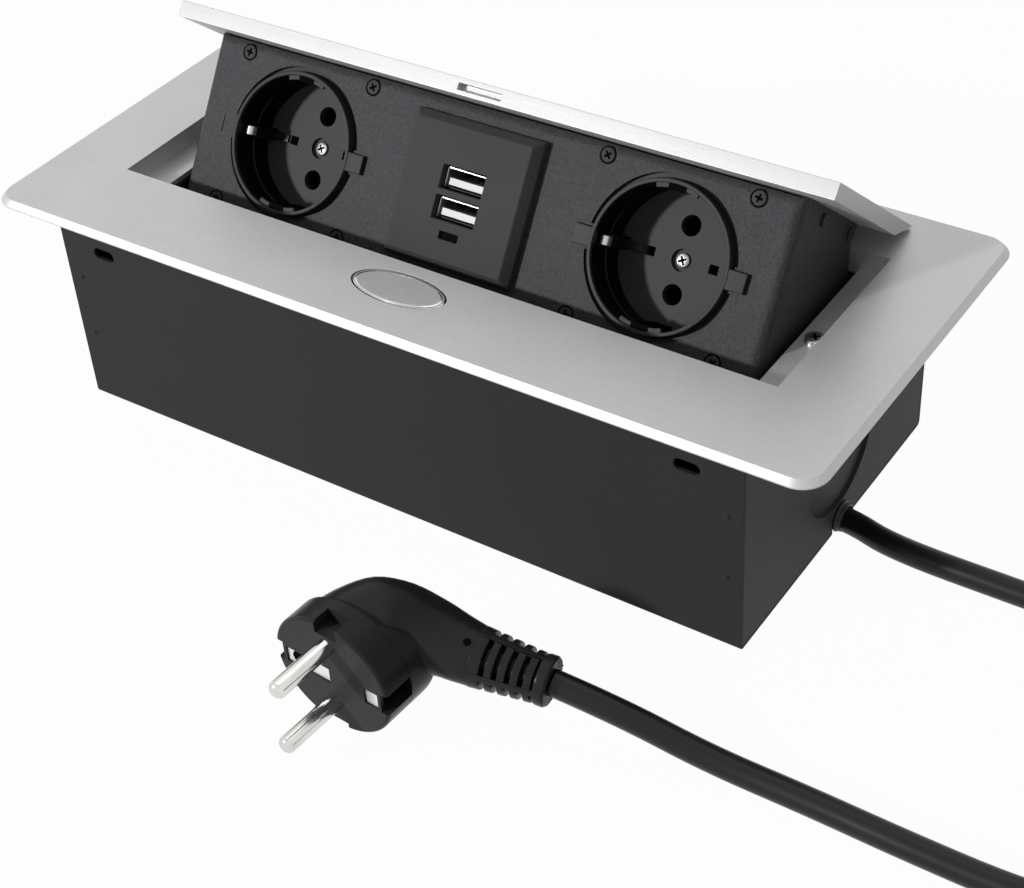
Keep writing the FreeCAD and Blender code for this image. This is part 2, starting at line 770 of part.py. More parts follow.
def earth_strap(u0):
    """The bent strip across the back of a well's floor, whose two ends stand up in the well as clips."""
    t = clip_thickness
    top = well_back_h
    line = [(clip_u, top), (clip_u, well_floor_h + 2.0), (clip_u - 0.8, -6.0), (clip_u + 1.0, -2.0)]
    right = [(u + t, h) for u, h in line[1:]]
    outline = [(-clip_u, top)] + [(-u, h) for u, h in line[1:]]
    outline += [(-u, h) for u, h in reversed(right)]
    outline += [(-clip_u - t, top - t), (clip_u + t, top - t)] + right + list(reversed(line))
    points = [V(u, 0, h) for u, h in outline]
    strap = Part.Face(Part.makePolygon(points + points[:1])).extrude(V(0, clip_width, 0))
    strap.translate(V(0, -clip_width / 2, 0))
    strap = strap.cut(Part.makeCylinder(screw_shank_radius, 4, V(0, 0, top - 2)))
    strap.translate(V(u0, 0, 0))
    return on_panel(strap)


def socket_screws():
    """The bright cheese-head screw in the middle of each well floor."""
    screws = []
    for u0 in (-socket_offset, socket_offset):
        seat = V(u0, 0, well_floor_h - socket_screw_recess)
        head = Part.makeCylinder(socket_screw_head_radius, socket_screw_head, seat)
        shank = Part.makeCylinder(screw_shank_radius, socket_screw_length, seat.sub(V(0, 0, socket_screw_length)))
        screws.append(head.fuse(shank))
    return on_panel(Part.makeCompound(screws))


# USB charger

def usb_cover():
    """The raised bevelled plate round the two USB ports."""
    half_w = usb_base_width / 2
    half_h = usb_base_height / 2
    base = block(-half_w, half_w, -half_h, half_h, 0, usb_base_step)

    def outline(w, h, z):
        return Part.makePolygon([V(-w, -h, z), V(w, -h, z), V(w, h, z), V(-w, h, z), V(-w, -h, z)])

    bevel = Part.makeLoft([outline(half_w, half_h, usb_base_step),
                           outline(half_w - usb_chamfer, half_h - usb_chamfer, port_face_h)], True, True)
    cover = base.fuse(bevel)
    for v in (-port_spacing / 2, port_spacing / 2):
        cover = cover.cut(block(-port_window_width / 2, port_window_width / 2,
                                v - port_window_height / 2, v + port_window_height / 2, -1, 10))
    cover = cover.cut(block(-led_window_width / 2, led_window_width / 2, led_v - led_window_height / 2,
                            led_v + led_window_height / 2, -1, 10))
    return on_panel(cover.removeSplitter())


def usb_housing():
    """The box behind the USB plate that holds the charger board."""
    half_w = usb_body_width / 2
    half_h = usb_body_height / 2
    outer = block(-half_w, half_w, -half_h, half_h, -usb_body_depth, 0)
    inner = block(-half_w + usb_wall, half_w - usb_wall, -half_h + usb_wall, half_h - usb_wall,
                  -usb_body_depth + usb_wall, 1)
    return on_panel(outer.cut(inner))


def usb_board():
    half_w = usb_body_width / 2 - usb_wall
    half_h = usb_body_height / 2 - usb_wall
    top = port_face_h - port_recess - port_length
    board = block(-half_w, half_w, -half_h, half_h, top - usb_board_thickness, top)
    coil = block(-14, -5, 7, 15, top, top + 6)
    cap = Part.makeCylinder(3.2, 6.5, V(9, 11.5, top))
    return on_panel(board.fuse([coil, cap]))


def usb_port_shells():
    """The two folded metal shells of the USB ports."""
    shells = []
    front = port_face_h - port_recess
    half_w = port_width / 2
    half_h = port_height / 2
    for v in (-port_spacing / 2, port_spacing / 2):
        outer = block(-half_w, half_w, v - half_h, v + half_h, front - port_length, front)
        inner = block(-half_w + port_sheet, half_w - port_sheet, v - half_h + port_sheet,
                      v + half_h - port_sheet, front - port_length + port_sheet, front + 1)
        shells.append(outer.cut(inner))
    return on_panel(Part.makeCompound(shells))


def usb_port_tongues():
    """The contact tongue in the lower half of each port."""
    tongues = []
    front = port_face_h - port_recess
    for v in (-port_spacing / 2, port_spacing / 2):
        tongues.append(block(-tongue_width / 2, tongue_width / 2, v - tongue_thickness, v,
                             front - port_length + port_sheet, front - tongue_setback))
    return on_panel(Part.makeCompound(tongues))


def usb_led_window():
    half_u = led_window_width / 2 - led_gap
    half_v = led_window_height / 2 - led_gap
    return on_panel(block(-half_u, half_u, led_v - half_v, led_v + half_v, 0, port_face_h - 1.0))


# Push button and latch

def push_button():
    """The oval button with its guide post and the two sloping legs that drive the latch."""
    cap = oval(button_length, button_width, box_height - button_flange, frame_top, button_x, button_y)
    post_bottom = guide_floor_top + button_travel + 0.3
    post = Part.makeCylinder(button_post_radius, box_height - post_bottom, V(button_x, button_y, post_bottom))
    tip_bottom = guide_floor_z - button_tip_reach
    tip = Part.makeCylinder(button_tip_radius, post_bottom - tip_bottom, V(button_x, button_y, tip_bottom))
    button = cap.fuse([post, tip])
    for x0 in cam_leg_starts():
        button = button.fuse(cam_leg(x0, post_bottom, box_height, 0))
    return button.removeSplitter()


def cam_leg_starts():
    return (button_x - cam_leg_x - cam_leg_width, button_x + cam_leg_x)


def cam_leg(x0, z0, z1, clearance):
    """A leg that leans to the front as it rises, so that pushing it down draws the latch to the front."""
    ratio = latch_travel / button_travel

    def front(z):
        return button_y - cam_leg_lead + ratio * (box_height - z)

    outline = [(front(z0) - clearance, z0), (front(z0) + cam_leg_depth + clearance, z0),
               (front(z1) + cam_leg_depth + clearance, z1), (front(z1) - clearance, z1)]
    return prism_x(outline, x0 - clearance, x0 + cam_leg_width + clearance)


def latch_bolt():
    """The latch: a tongue through the collar, a riser and a forked slide that the button's legs pass through."""
    z = latch_tongue_z
    top = latch_tongue_top
    tip_y = lid_front_y + latch_engagement
    riser_back = opening_front_y - collar_wall - latch_gap
    riser_front = riser_back - latch_riser
    half = latch_tongue_width / 2
    tongue = prism_x([(riser_front, z), (tip_y, z), (tip_y, z + 0.3), (tip_y - latch_bevel, top),
                      (riser_front, top)], -half, half)
    riser = block(-half, half, riser_front, riser_back, latch_slide_z, top)
    slide = block(-latch_slide_half_width, latch_slide_half_width, latch_slide_front_y, riser_back,
                  latch_slide_z, latch_slide_top)
    fork = block(button_x - spring_room, button_x + spring_room, latch_slide_front_y - 1,
                 button_y + spring_room + latch_travel, latch_slide_z - 1, latch_slide_top + 1)
    bolt = slide.cut(fork).fuse([tongue, riser])
    for x0 in cam_leg_starts():
        bolt = bolt.cut(cam_leg(x0, latch_slide_z - 1, latch_slide_top + 1, cam_clearance))
    return bolt.removeSplitter()


def button_guide():
    """The moulded carrier under the cover frame that guides the button and the latch."""
    front_y = box_front_y + box_sheet + guide_front_gap
    back_y = opening_front_y - collar_wall - guide_back_gap
    guide = block(-guide_half_width, guide_half_width, front_y, back_y, guide_floor_z, frame_underside)
    half = guide_half_width - guide_wall
    guide = guide.cut(block(-half, half, front_y + guide_wall, back_y + 1, guide_floor_top,
                            frame_underside + 1))
    rail_top = latch_slide_z - cam_clearance
    rail_edge = latch_slide_half_width - 1.0
    for x0 in (-half, rail_edge):
        guide = guide.fuse(block(x0, x0 + half - rail_edge, front_y + guide_wall, back_y,
                                 rail_top - guide_rail, rail_top))
    hole = Part.makeCylinder(button_tip_radius + button_tip_gap, guide_wall + 2,
                             V(button_x, button_y, guide_floor_z - 1))
    return guide.cut(hole).removeSplitter()


def button_spring():
    """The return spring round the button's post, from the guide's floor to the cap."""
    room = box_height - button_flange - guide_floor_top - 2 * button_wire_radius
    start = V(button_x, button_y, guide_floor_top + button_wire_radius)
    return coil_spring(start, Z_AXIS, button_spring_turns, room / button_spring_turns,
                       button_coil_radius, button_wire_radius)


# Mains entry

def cable_gland():
    """The cord bush in a notch at the foot of the right end wall, flat underneath, with a tapered sleeve."""
    outside = wall_x
    flange_start = V(outside, gland_y, gland_z)
    gland = rod(gland_hole_radius, V(end_inside - gland_reach, gland_y, gland_z), flange_start)
    gland = gland.fuse(rod(gland_flange_radius, flange_start, V(outside + gland_flange, gland_y, gland_z)))
    sleeve = Part.makeCone(gland_sleeve_root_radius, gland_sleeve_tip_radius, gland_sleeve_length,
                           flange_start, X_AXIS)
    gland = gland.fuse(sleeve)
    bore = rod(cord_radius, V(end_inside - gland_reach - 1, gland_y, gland_z), V(outside + 40, gland_y, gland_z))
    floor_cut = block(0, 200, gland_y - 10, gland_y + 10, -10, gland_flat_z)
    return gland.cut(bore).cut(floor_cut).removeSplitter()


def gland_notch():
    """The notch for the cord bush, open at the bottom, through the end wall and the box's floor."""
    start = end_inside - gland_reach - 0.5
    hole = rod(gland_hole_radius, V(start, gland_y, gland_z), V(box_length, gland_y, gland_z))
    return hole.fuse(block(start, box_length, gland_y - gland_hole_radius, gland_y + gland_hole_radius,
                           -1, gland_z))


def gland_lock_ring():
    """The clip that holds the cord bush from inside, flat where it stands on the box's floor."""
    x1 = end_inside - knockout_thickness
    x0 = x1 - gland_nut_length
    ring = rod(gland_nut_radius, V(x0, gland_y, gland_z), V(x1, gland_y, gland_z))
    ring = ring.common(block(x0, x1, gland_y - 10, gland_y + 10, box_sheet, 30))
    return ring.cut(gland_notch())


def terminal_block():
    """The three-pole block that joins the supply cord to the module's wiring."""
    xs, y0, z0 = terminal_places()
    y1 = y0 + terminal_depth
    middle = (y0 + y1) / 2
    hole_z = z0 + terminal_hole_height
    block_half = terminal_pitch / 2
    body = block(xs[0] - block_half, xs[-1] + block_half, y0, y1, z0, z0 + terminal_base)
    for x in xs:
        body = body.fuse(block(x - terminal_tower_half, x + terminal_tower_half, y0 + 1, y1 - 1,
                               z0, z0 + terminal_height))
    for x in xs:
        body = body.cut(rod(terminal_hole_radius, V(x, y0 - 1, hole_z), V(x, y1 + 1, hole_z)))
        body = body.cut(rod(terminal_screw_radius, V(x, middle, hole_z), V(x, middle, z0 + terminal_height + 2)))
    return body.removeSplitter()


def terminal_places():
    """Where the poles stand along X, the block's front and its seat."""
    last = end_inside - terminal_end_distance - terminal_pitch / 2
    xs = [last - terminal_pitch * i for i in reversed(range(terminal_poles))]
    return xs, box_depth / 2 - terminal_setback, box_sheet


def terminal_screws():
    screws = []
    xs, y0, z0 = terminal_places()
    y = y0 + terminal_depth / 2
    z = z0 + terminal_hole_height
    for x in xs:
        screw = rod(terminal_screw_radius, V(x, y, z + 1.0), V(x, y, z + 4.4))
        screws.append(screw.cut(block(x - 2, x + 2, y - 0.4, y + 0.4, z + 3.6, z + 5)))
    return Part.makeCompound(screws)


# Free cord: box to coil, coil, coil to plug

cord_to_coil = [
    V(end_inside - gland_reach, gland_y, gland_z),
    V(142, gland_y, gland_z),
    V(176, 1.0, 3.6),
    V(208, -0.6, 3.6),
    V(238, -1.3, 3.6),
]
coil_centre = V(243.0, -45.5, 0.1)
coil_mean_radius = 37.2
coil_band = 21.6
coil_height = 14.4
cord_to_plug = [
    V(238, -89.7, 9.4),
    V(210, -90.2, 5.5),
    V(180, -91.4, 3.6),
    V(150, -93.0, 3.6),
    V(125, -95.2, 5.4),
    V(102, -98.3, 13.2),
    V(85.5, -101.1, 16.9),
]


def tangent_path(points):
    """Straight runs joined by tangent arcs, each as large as its two runs allow."""
    pieces = []
    radii = []
    last = points[0]
    for before, corner, after in zip(points, points[1:], points[2:]):
        into = corner.sub(before)
        out = after.sub(corner)
        turn = into.getAngle(out)
        back = 0.45 * min(into.Length, out.Length)
        radii.append(back / math.tan(turn / 2))
        into.normalize()
        out.normalize()
        start = corner.sub(into * back)
        end = corner.add(out * back)
        bisector = out.sub(into)
        bisector.normalize()
        middle = corner.add(bisector * (radii[-1] / math.cos(turn / 2) - radii[-1]))
        pieces.append(Part.LineSegment(last, start).toShape())
        pieces.append(Part.Arc(start, middle, end).toShape())
        last = end
    pieces.append(Part.LineSegment(last, points[-1]).toShape())
    return Part.Wire(pieces), radii


def cord_tube(name, points):
    """A plain round tube along a route; prints its bend radii and checks its volume."""
    path, radii = tangent_path(points)
    start = points[0]
    direction = points[1].sub(start)
    section = Part.Wire(Part.Circle(start, direction, cord_radius).toShape())
    tube = path.makePipeShell([section], True, False)
    expected = math.pi * cord_radius ** 2 * path.Length
    print(name, "length", round(path.Length, 1), "radii", [round(r, 1) for r in radii],
          "volume ratio", round(tube.Volume / expected, 4))
    return tube


def cord_coil():
    """One closed ring of the outer shape of the put-away turns."""
    outer = Part.makeCylinder(coil_mean_radius + coil_band / 2, coil_height, coil_centre)
    inner = Part.makeCylinder(coil_mean_radius - coil_band / 2, coil_height + 2, coil_centre.sub(V(0, 0, 1)))
    return outer.cut(inner)


# Plug

yaw = math.radians(plug_yaw)
plug_pin_axis = V(math.sin(yaw), -math.cos(yaw), 0)
plug_side_axis = V(math.cos(yaw), math.sin(yaw), 0)

# Each section of the plug behind its head: distance to the side, distance back, turn from straight
# back towards the side, half width, half height, height of its centre above the floor
plug_sections = [
    (0.0, 8.0, 0, 17.6, 16.8, 18.6),
    (0.5, 12.5, 12, 16.0, 16.4, 18.6),
    (3.4, 17.6, 34, 13.2, 17.4, 18.9),
    (9.2, 21.4, 56, 11.0, 13.4, 20.4),
    (15.6, 23.2, 69, 9.8, 9.2, 20.9),
    (21.6, 24.3, 75, 8.8, 7.9, 19.7),
    (27.2, 25.5, 77, 7.8, 7.5, 18.6),
]


def plug_place(side, back, z):
    """A point given by its distance to the side of the plug's axis and behind its face."""
    return V(plug_face_centre.x, plug_face_centre.y, z).add(plug_side_axis * side).sub(plug_pin_axis * back)


def plug_ring(side, back, turn, half_width, half_height, z):
    """One many-sided upright section of the plug."""
    angle = math.radians(turn)
    across = plug_side_axis * math.cos(angle) + plug_pin_axis * math.sin(angle)
    centre = plug_place(side, back, z)
    corners = []
    for i in range(plug_ring_steps):
        a = 2 * math.pi * i / plug_ring_steps
        corners.append(centre.add(across * (half_width * math.cos(a))).add(Z_AXIS * (half_height * math.sin(a))))
    return Part.makePolygon(corners + corners[:1])


def plug_body():
    """The angled plug: a round head, drawn out behind into an elbow and a neck along the cord."""
    back = plug_pin_axis * -1
    shoulder = Part.makeCylinder(plug_radius, plug_shoulder_depth, plug_face_centre, back)
    wedge = [plug_place(side, depth, -40) for side, depth in
             [(plug_shoulder_start, 1), (plug_shoulder_start, plug_head_depth),
              (plug_radius + 1, plug_shoulder_depth), (plug_radius + 1, 1)]]
    wedge = Part.Face(Part.makePolygon(wedge + wedge[:1])).extrude(V(0, 0, 100))
    shoulder = shoulder.common(wedge)
    edge = plug_face_centre.add(back * plug_edge)
    head = Part.makeCone(plug_radius - plug_edge, plug_radius, plug_edge, plug_face_centre, back)
    head = head.fuse(Part.makeCylinder(plug_radius, plug_head_depth - plug_edge, edge, back))
    elbow = Part.makeLoft([plug_ring(*section) for section in plug_sections], True, True)
    body = head.fuse([elbow, shoulder])
    for v in (-pin_spacing / 2, pin_spacing / 2):
        root = plug_face_centre.add(V(0, 0, v))
        body = body.cut(Part.makeCylinder(plug_pin_root_radius, plug_pin_root, root, back))
    for end in (-1, 1):
        groove = block(plug_radius - plug_earth_depth, plug_radius + 3, -0.5, plug_groove_length,
                       -plug_earth_width / 2, plug_earth_width / 2)
        key = block(-plug_key_width / 2, plug_key_width / 2, -0.5, plug_key_length,
                    plug_radius - plug_key_depth, plug_radius + 3)
        body = body.cut(on_plug(groove if end > 0 else mirror_x(groove)))
        body = body.cut(on_plug(key if end > 0 else key.mirror(V(0, 0, 0), Z_AXIS)))
    body = body.cut(on_plug(Part.makeCompound(face_plates(plug_plate_depth))))
    earth_hole = rod(earth_hole_radius, V(earth_hole_side, 0, 0), V(earth_hole_side, earth_hole_depth, 0))
    return body.cut(on_plug(earth_hole)).removeSplitter()


def on_plug(shape):
    """Put a piece drawn as side, distance back and height about the plug's axis in its place."""
    placed = shape.copy()
    placed.rotate(V(0, 0, 0), Z_AXIS, plug_yaw)
    placed.translate(plug_face_centre)
    return placed


def face_plates(depth):
    """The two flat areas in the plug's face where its earth contacts show."""
    edge = plug_radius - plug_earth_depth
    half = plug_plate_width / 2
    return [block(-edge, left_plate_end, 0, depth, -half, half), block(right_plate_start, edge, 0, depth, -half, half)]


def plug_relief():
    """The ribbed strain relief at the tail of the plug."""
    side, back, turn, half_width, half_height, z = plug_sections[-1]
    start = plug_place(side, back, z)
    along = cord_to_plug[-1].sub(start)
    plug_relief_length = along.Length
    slope = (plug_relief_tip_radius - plug_relief_radius) / plug_relief_length
    outline = [(0, cord_radius), (0, plug_relief_radius)]
    for i in range(relief_grooves):
        x0 = 1.6 + relief_pitch * i
        x1 = x0 + relief_groove
        root = plug_relief_radius + slope * x0 - relief_groove_depth
        outline += [(x0, plug_relief_radius + slope * x0), (x0, root), (x1, root),
                    (x1, plug_relief_radius + slope * x1)]
    outline += [(plug_relief_length, plug_relief_tip_radius), (plug_relief_length, cord_radius)]
    points = [V(x, 0, r) for x, r in outline]
    relief = Part.Face(Part.makePolygon(points + points[:1])).revolve(V(0, 0, 0), X_AXIS, 360)
    relief.Placement = FreeCAD.Placement(start, FreeCAD.Rotation(X_AXIS, along))
    bars = []
    for angle in (bar_angle, -bar_angle):
        bar = block(0, along.Length, -plug_relief_radius, plug_relief_radius, -bar_half, bar_half)
        bar.rotate(V(0, 0, 0), X_AXIS, angle)
        bars.append(bar)
    cone = Part.makeCone(plug_relief_radius, plug_relief_tip_radius, along.Length, V(0, 0, 0), X_AXIS)
    bars = Part.makeCompound([cone.common(bar) for bar in bars])
    bars.Placement = relief.Placement
    relief = relief.fuse(bars.cut(Part.makeCylinder(cord_radius, along.Length, start, along)).Solids)
    return relief.cut(plug_body()).cut(cord_tube("plug_cord", cord_to_plug)).removeSplitter()


def plug_pins():
    """The two round pins, each with a thinner root in the plug and a tapered nose."""
    pair = []
    for v in (-pin_spacing / 2, pin_spacing / 2):
        face = plug_face_centre.add(V(0, 0, v))
        straight = pin_length - plug_pin_nose
        pin = Part.makeCylinder(pin_radius, straight, face, plug_pin_axis)
        nose = Part.makeCone(pin_radius, plug_pin_tip_radius, plug_pin_nose,
                             face.add(plug_pin_axis * straight), plug_pin_axis)
        root = Part.makeCylinder(plug_pin_root_radius, plug_pin_root, face, plug_pin_axis * -1)
        pair.append(pin.fuse([nose, root]))
    return Part.makeCompound(pair)


def plug_earth_contacts():
    """The two bright earth contacts: a strip in each side groove and a plate in the face, one with a hole."""
    contacts = []
    inner = plug_radius - plug_earth_depth
    half = plug_contact_width / 2
    hole = rod(earth_hole_radius, V(earth_hole_side, -1, 0), V(earth_hole_side, earth_hole_depth, 0))
    for end, plate in zip((-1, 1), face_plates(plug_plate_depth)):
        strip = block(inner, inner + plug_contact_thickness, plug_plate_depth - plug_contact_thickness,
                      plug_head_depth, -half, half)
        plate = plate.cut(block(-30, 30, -1, plug_plate_depth - plug_contact_thickness, -30, 30))
        contact = plate.fuse(strip if end > 0 else mirror_x(strip)).removeSplitter()
        contacts.append(on_plug(contact.cut(hole)))
    return Part.makeCompound(contacts)


def export(name, shape):
    solids = shape.Solids
    sound = shape.isValid() and all(s.Volume > 0 for s in solids)
    print(f"{name:24s} solids {len(solids)}  volume {shape.Volume / 1000:8.2f} cm3", "" if sound else "  INVALID")
    shape.exportStep("parts/" + name + ".step")


def main():
    os.makedirs("parts", exist_ok=True)
    pieces = {
        "cover_frame": cover_frame(),
        "frame_screws": frame_screws(),
        "housing_shell": housing_shell(),
        "end_plate_left": end_plate(-1),
        "end_plate_right": end_plate(1),
        "knockout_disc_left": knockout_disc(-1),
        "knockout_disc_right": knockout_disc(1),
        "pivot_pin_left": pivot_pin(-1),
        "pivot_pin_right": pivot_pin(1),
        "lift_spring_left": lift_spring(-1),
        "lift_spring_right": lift_spring(1),
        "module_shell": module_shell(),
        "rear_cover": rear_cover(),
        "panel_screws": panel_screws(),
        "lid": lid(),
        "lid_bracket_left": lid_bracket(-1),
        "lid_bracket_right": lid_bracket(1),
        "lid_screws": lid_screws(),
        "pivot_bush_left": pivot_bush(-1),
        "pivot_bush_right": pivot_bush(1),
        "socket_cup_left": socket_cup(-socket_offset),
        "socket_cup_right": socket_cup(socket_offset),
        "socket_floor_left": socket_floor(-socket_offset),
        "socket_floor_right": socket_floor(socket_offset),
        "contact_holders_left": contact_holders(-socket_offset),
        "contact_holders_right": contact_holders(socket_offset),
        "pin_contacts_left": pin_contacts(-socket_offset),
        "pin_contacts_right": pin_contacts(socket_offset),
        "earth_strap_left": earth_strap(-socket_offset),
        "earth_strap_right": earth_strap(socket_offset),
        "socket_screws": socket_screws(),
        "usb_cover": usb_cover(),
        "usb_housing": usb_housing(),
        "usb_board": usb_board(),
        "usb_port_shells": usb_port_shells(),
        "usb_port_tongues": usb_port_tongues(),
        "usb_led_window": usb_led_window(),
        "push_button": push_button(),
        "button_spring": button_spring(),
        "button_guide": button_guide(),
        "latch_bolt": latch_bolt(),
        "cable_gland": cable_gland(),
        "gland_lock_ring": gland_lock_ring(),
        "terminal_block": terminal_block(),
        "terminal_screws": terminal_screws(),
        "supply_cord": cord_tube("supply_cord", cord_to_coil),
        "cord_coil": cord_coil(),
        "plug_cord": cord_tube("plug_cord", cord_to_plug),
        "plug_body": plug_body(),
        "plug_relief": plug_relief(),
        "plug_pins": plug_pins(),
        "plug_earth_contacts": plug_earth_contacts(),
    }
    for name, shape in pieces.items():
        export(name, shape)
    print("nodes", len(pieces))


main()
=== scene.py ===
import bpy
import bmesh
import json
import math
from mathutils import Matrix, Vector

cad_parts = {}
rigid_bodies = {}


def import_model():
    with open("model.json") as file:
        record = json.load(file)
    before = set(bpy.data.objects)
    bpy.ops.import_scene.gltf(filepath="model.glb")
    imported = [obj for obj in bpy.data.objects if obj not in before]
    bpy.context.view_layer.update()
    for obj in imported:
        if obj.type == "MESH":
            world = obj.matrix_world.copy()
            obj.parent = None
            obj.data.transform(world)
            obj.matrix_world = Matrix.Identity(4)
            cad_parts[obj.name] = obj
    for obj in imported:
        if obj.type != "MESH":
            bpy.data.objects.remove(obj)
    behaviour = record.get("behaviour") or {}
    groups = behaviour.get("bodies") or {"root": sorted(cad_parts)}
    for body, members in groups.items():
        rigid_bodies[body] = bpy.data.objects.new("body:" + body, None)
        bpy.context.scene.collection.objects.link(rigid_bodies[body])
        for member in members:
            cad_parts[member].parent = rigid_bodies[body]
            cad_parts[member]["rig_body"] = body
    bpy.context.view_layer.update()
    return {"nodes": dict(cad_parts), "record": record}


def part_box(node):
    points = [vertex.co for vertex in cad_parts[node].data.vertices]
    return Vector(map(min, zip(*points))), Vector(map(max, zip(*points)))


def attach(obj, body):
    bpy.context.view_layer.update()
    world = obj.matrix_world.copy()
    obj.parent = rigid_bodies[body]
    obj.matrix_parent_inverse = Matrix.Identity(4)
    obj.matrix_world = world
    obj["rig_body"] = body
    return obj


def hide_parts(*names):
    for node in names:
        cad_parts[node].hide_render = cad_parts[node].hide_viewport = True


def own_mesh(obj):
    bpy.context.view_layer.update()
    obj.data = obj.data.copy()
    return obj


# Worktop power strip: two earthed sockets and a USB charger on a tilting module in a sunk steel box.
# Metres and degrees, in the CAD model's own frame. On the panel, u runs along, v up and h out of its face.

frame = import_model()
nodes = frame["nodes"]

# The module's tilt and the panel's place on it
open_angle = 39.9
panel_lean = 6.6
pivot = Vector((0.0, 0.0435, 0.0426))
panel_origin = Vector((0.0, -0.0169, 0.0369))
panel_sheet = 0.0015

# Cover frame: half length and half width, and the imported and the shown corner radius
frame_half = (0.1330, 0.05925)
frame_corner = (0.0120, 0.0075)
corner_slack = 0.00001

# Button: its share of the imported size, and the polished ring round its top
button_shrink = (0.966, 0.930, 1.0)
ring_width = 0.0005
ring_land_share = 0.4
ring_overhang_share = 0.2
ring_rise = 0.00005
ring_slope = 0.0003
ring_depth = 0.0006

# Lid, and the latch's slot in its front edge
lid_half_length = 0.1057
lid_front_y = -0.0276
lid_back_y = 0.0333
lid_bottom = 0.0623
lid_top = 0.0670
lid_bevel = 0.0105
lid_back_land = 0.0004
lid_ease = 0.0003
slot_length = 0.0140
slot_height = 0.0019
slot_drop = 0.0015
slot_depth = 0.0026

# Socket wells and their collars
socket_offset = 0.0608
cup_radius = 0.0214
cup_foot = 0.0004
cup_back_radius = cup_radius - cup_foot
rim_radius = 0.0206
rim_height = 0.0017
rim_inner_ease = 0.00015
rim_outer_ease = 0.0002
collar_foot = rim_height - 0.0010
well_radius = 0.0195
well_floor_h = -0.0138
well_back_h = -0.0163
well_step_h = -0.0073
step_radius = 0.0190
step_chamfer = 0.0003
lining_back = well_radius + 0.0006
flange_half_width = 0.0255
flange_half_height = 0.0243
flange_back_h = -0.0040
flange_bore_radius = well_radius + 0.0008
flange_bore_length = 0.02

# Key ribs in the wells, with a shelf at each side
key_half_angle = 8.0
key_radius = well_radius - 0.0017
key_chamfer = 0.0004
rib_root = well_radius + 0.0003
rib_ease = 0.00012
shelf_angle = 11.0
shelf_radius = well_radius - 0.0012
shelf_foot = collar_foot - 0.0012

# Ears beside the rims, and the cut-outs round them
ear_root = rim_radius - 0.0006
ear_reach = 0.0257
ear_half_width = 0.0027
ear_height = 0.0015
ear_ease = 0.0003
cutout_reach = 0.02675
cutout_half_width = 0.00345
cutout_edge = 0.00075

# Earth clips: flattened round tips, rails with a heel each, and a foot on the left
clip_tip_radius = 0.0019
clip_tip_width = 0.0026
clip_tip_flatness = 0.80
clip_tip_reach = {-1: 0.0181, 1: 0.0190}
clip_tip_h = -0.0036
clip_ease = 0.0002
rail_reach = 0.0184
rail_corners = ((-0.0009, -0.0019, well_floor_h), (0.0009, 0.0019, -0.0060))
heel_ends = (-0.0009, 0.0005)
heel_half_width = 0.0013
heel_heights = (well_floor_h - 0.0002, well_floor_h + 0.0008)
left_foot_corners = ((-0.0180, -0.0012, well_floor_h - 0.0004), (-0.0115, 0.0012, well_floor_h + 0.0007))

# Screw heads: radius, height and crown, then the cross's arm, half width and depth
flat_head = (0.0020, 0.0014, 0.00015, 0.0012, 0.00036, 0.0010)
cheese_head = (0.0021, 0.0018, 0.0005, 0.0013, 0.00032, 0.0012)
pan_head = (0.0028, 0.0015, 0.0009, 0.0015, 0.0004, 0.0010)

# Screws: each panel screw has stopped at an angle of its own, in degrees for each metre of its place
panel_screw_u = 0.0223
panel_screw_v = 0.0218
panel_screw_h = -0.0013
panel_screw_turn = 18
turn_by_u = 900
turn_by_v = 700
turn_by_socket = 400
panel_seat = [(0.0017, -0.0010), (0.0024, -0.0010), (0.0024, -0.0001), (0.0017, -0.0003)]
socket_screw_h = well_floor_h - 0.0022
socket_screw_turn = 30
ledge_screw = Vector((0.10265, 0.0005, 0.0607))
ledge_screw_turn = 35
crown_share = 0.3
cross_sunk = 0.0003

# USB ports and their contacts
port_offset = 0.0042
port_half_width = 0.0065
port_half_height = 0.0028
port_wall = 0.0003
port_front_h = 0.0025
port_back_h = -0.0050
port_lip_setback = 0.0012
port_ease = 0.00006
contact_places = (-0.0030, 0.0018, 0.0046)
contact_half_width = 0.0006
contact_rise = 0.0010
contact_front_h = 0.0004

# Weld marks near the ends of the front and back walls
weld_x = 0.1073
weld_heights = (0.0442, 0.0240)
weld_radius = 0.0012
weld_middle_y = 0.0540 - 0.0007

# Plug's head, its place and its shoulder: where that starts beside the middle, and how far back it goes
plug_face = Vector((0.0379, -0.1276, 0.0186))
plug_yaw = -4.2
plug_radius = 0.0185
plug_outside = 0.024
plug_head_depth = 0.0090
plug_head_flatness = 0.925
plug_head_drop = 0.0008
plug_face_ease = 0.0010
plug_ease = 0.00035
plug_shoulder = (0.0087, 0.0175)
shoulder_overlap = 0.0005

# Grooves in the plug's head, and the contact plates in its face
side_groove_floor = plug_radius - 0.0026
side_groove_length = 0.0088
side_groove_heights = (-0.0040, 0.0022)
key_groove_half_width = 0.0035
key_groove_length = 0.0056
key_groove_depths = (0.0024, 0.0038)
face_plates = ((-0.0150, -0.0006), (0.0106, 0.0150))
plate_heights = (-0.0037, 0.0013)
plate_front = 0.0006
plate_back = 0.0012
contact_ease = 0.0001
contact_hole = Vector((-0.0112, 0.0008, sum(plate_heights) / 2))
contact_hole_radius = 0.0021
contact_hole_depth = 0.0005
strip_thickness = 0.0004
strip_heights = (-0.0030, 0.0012)

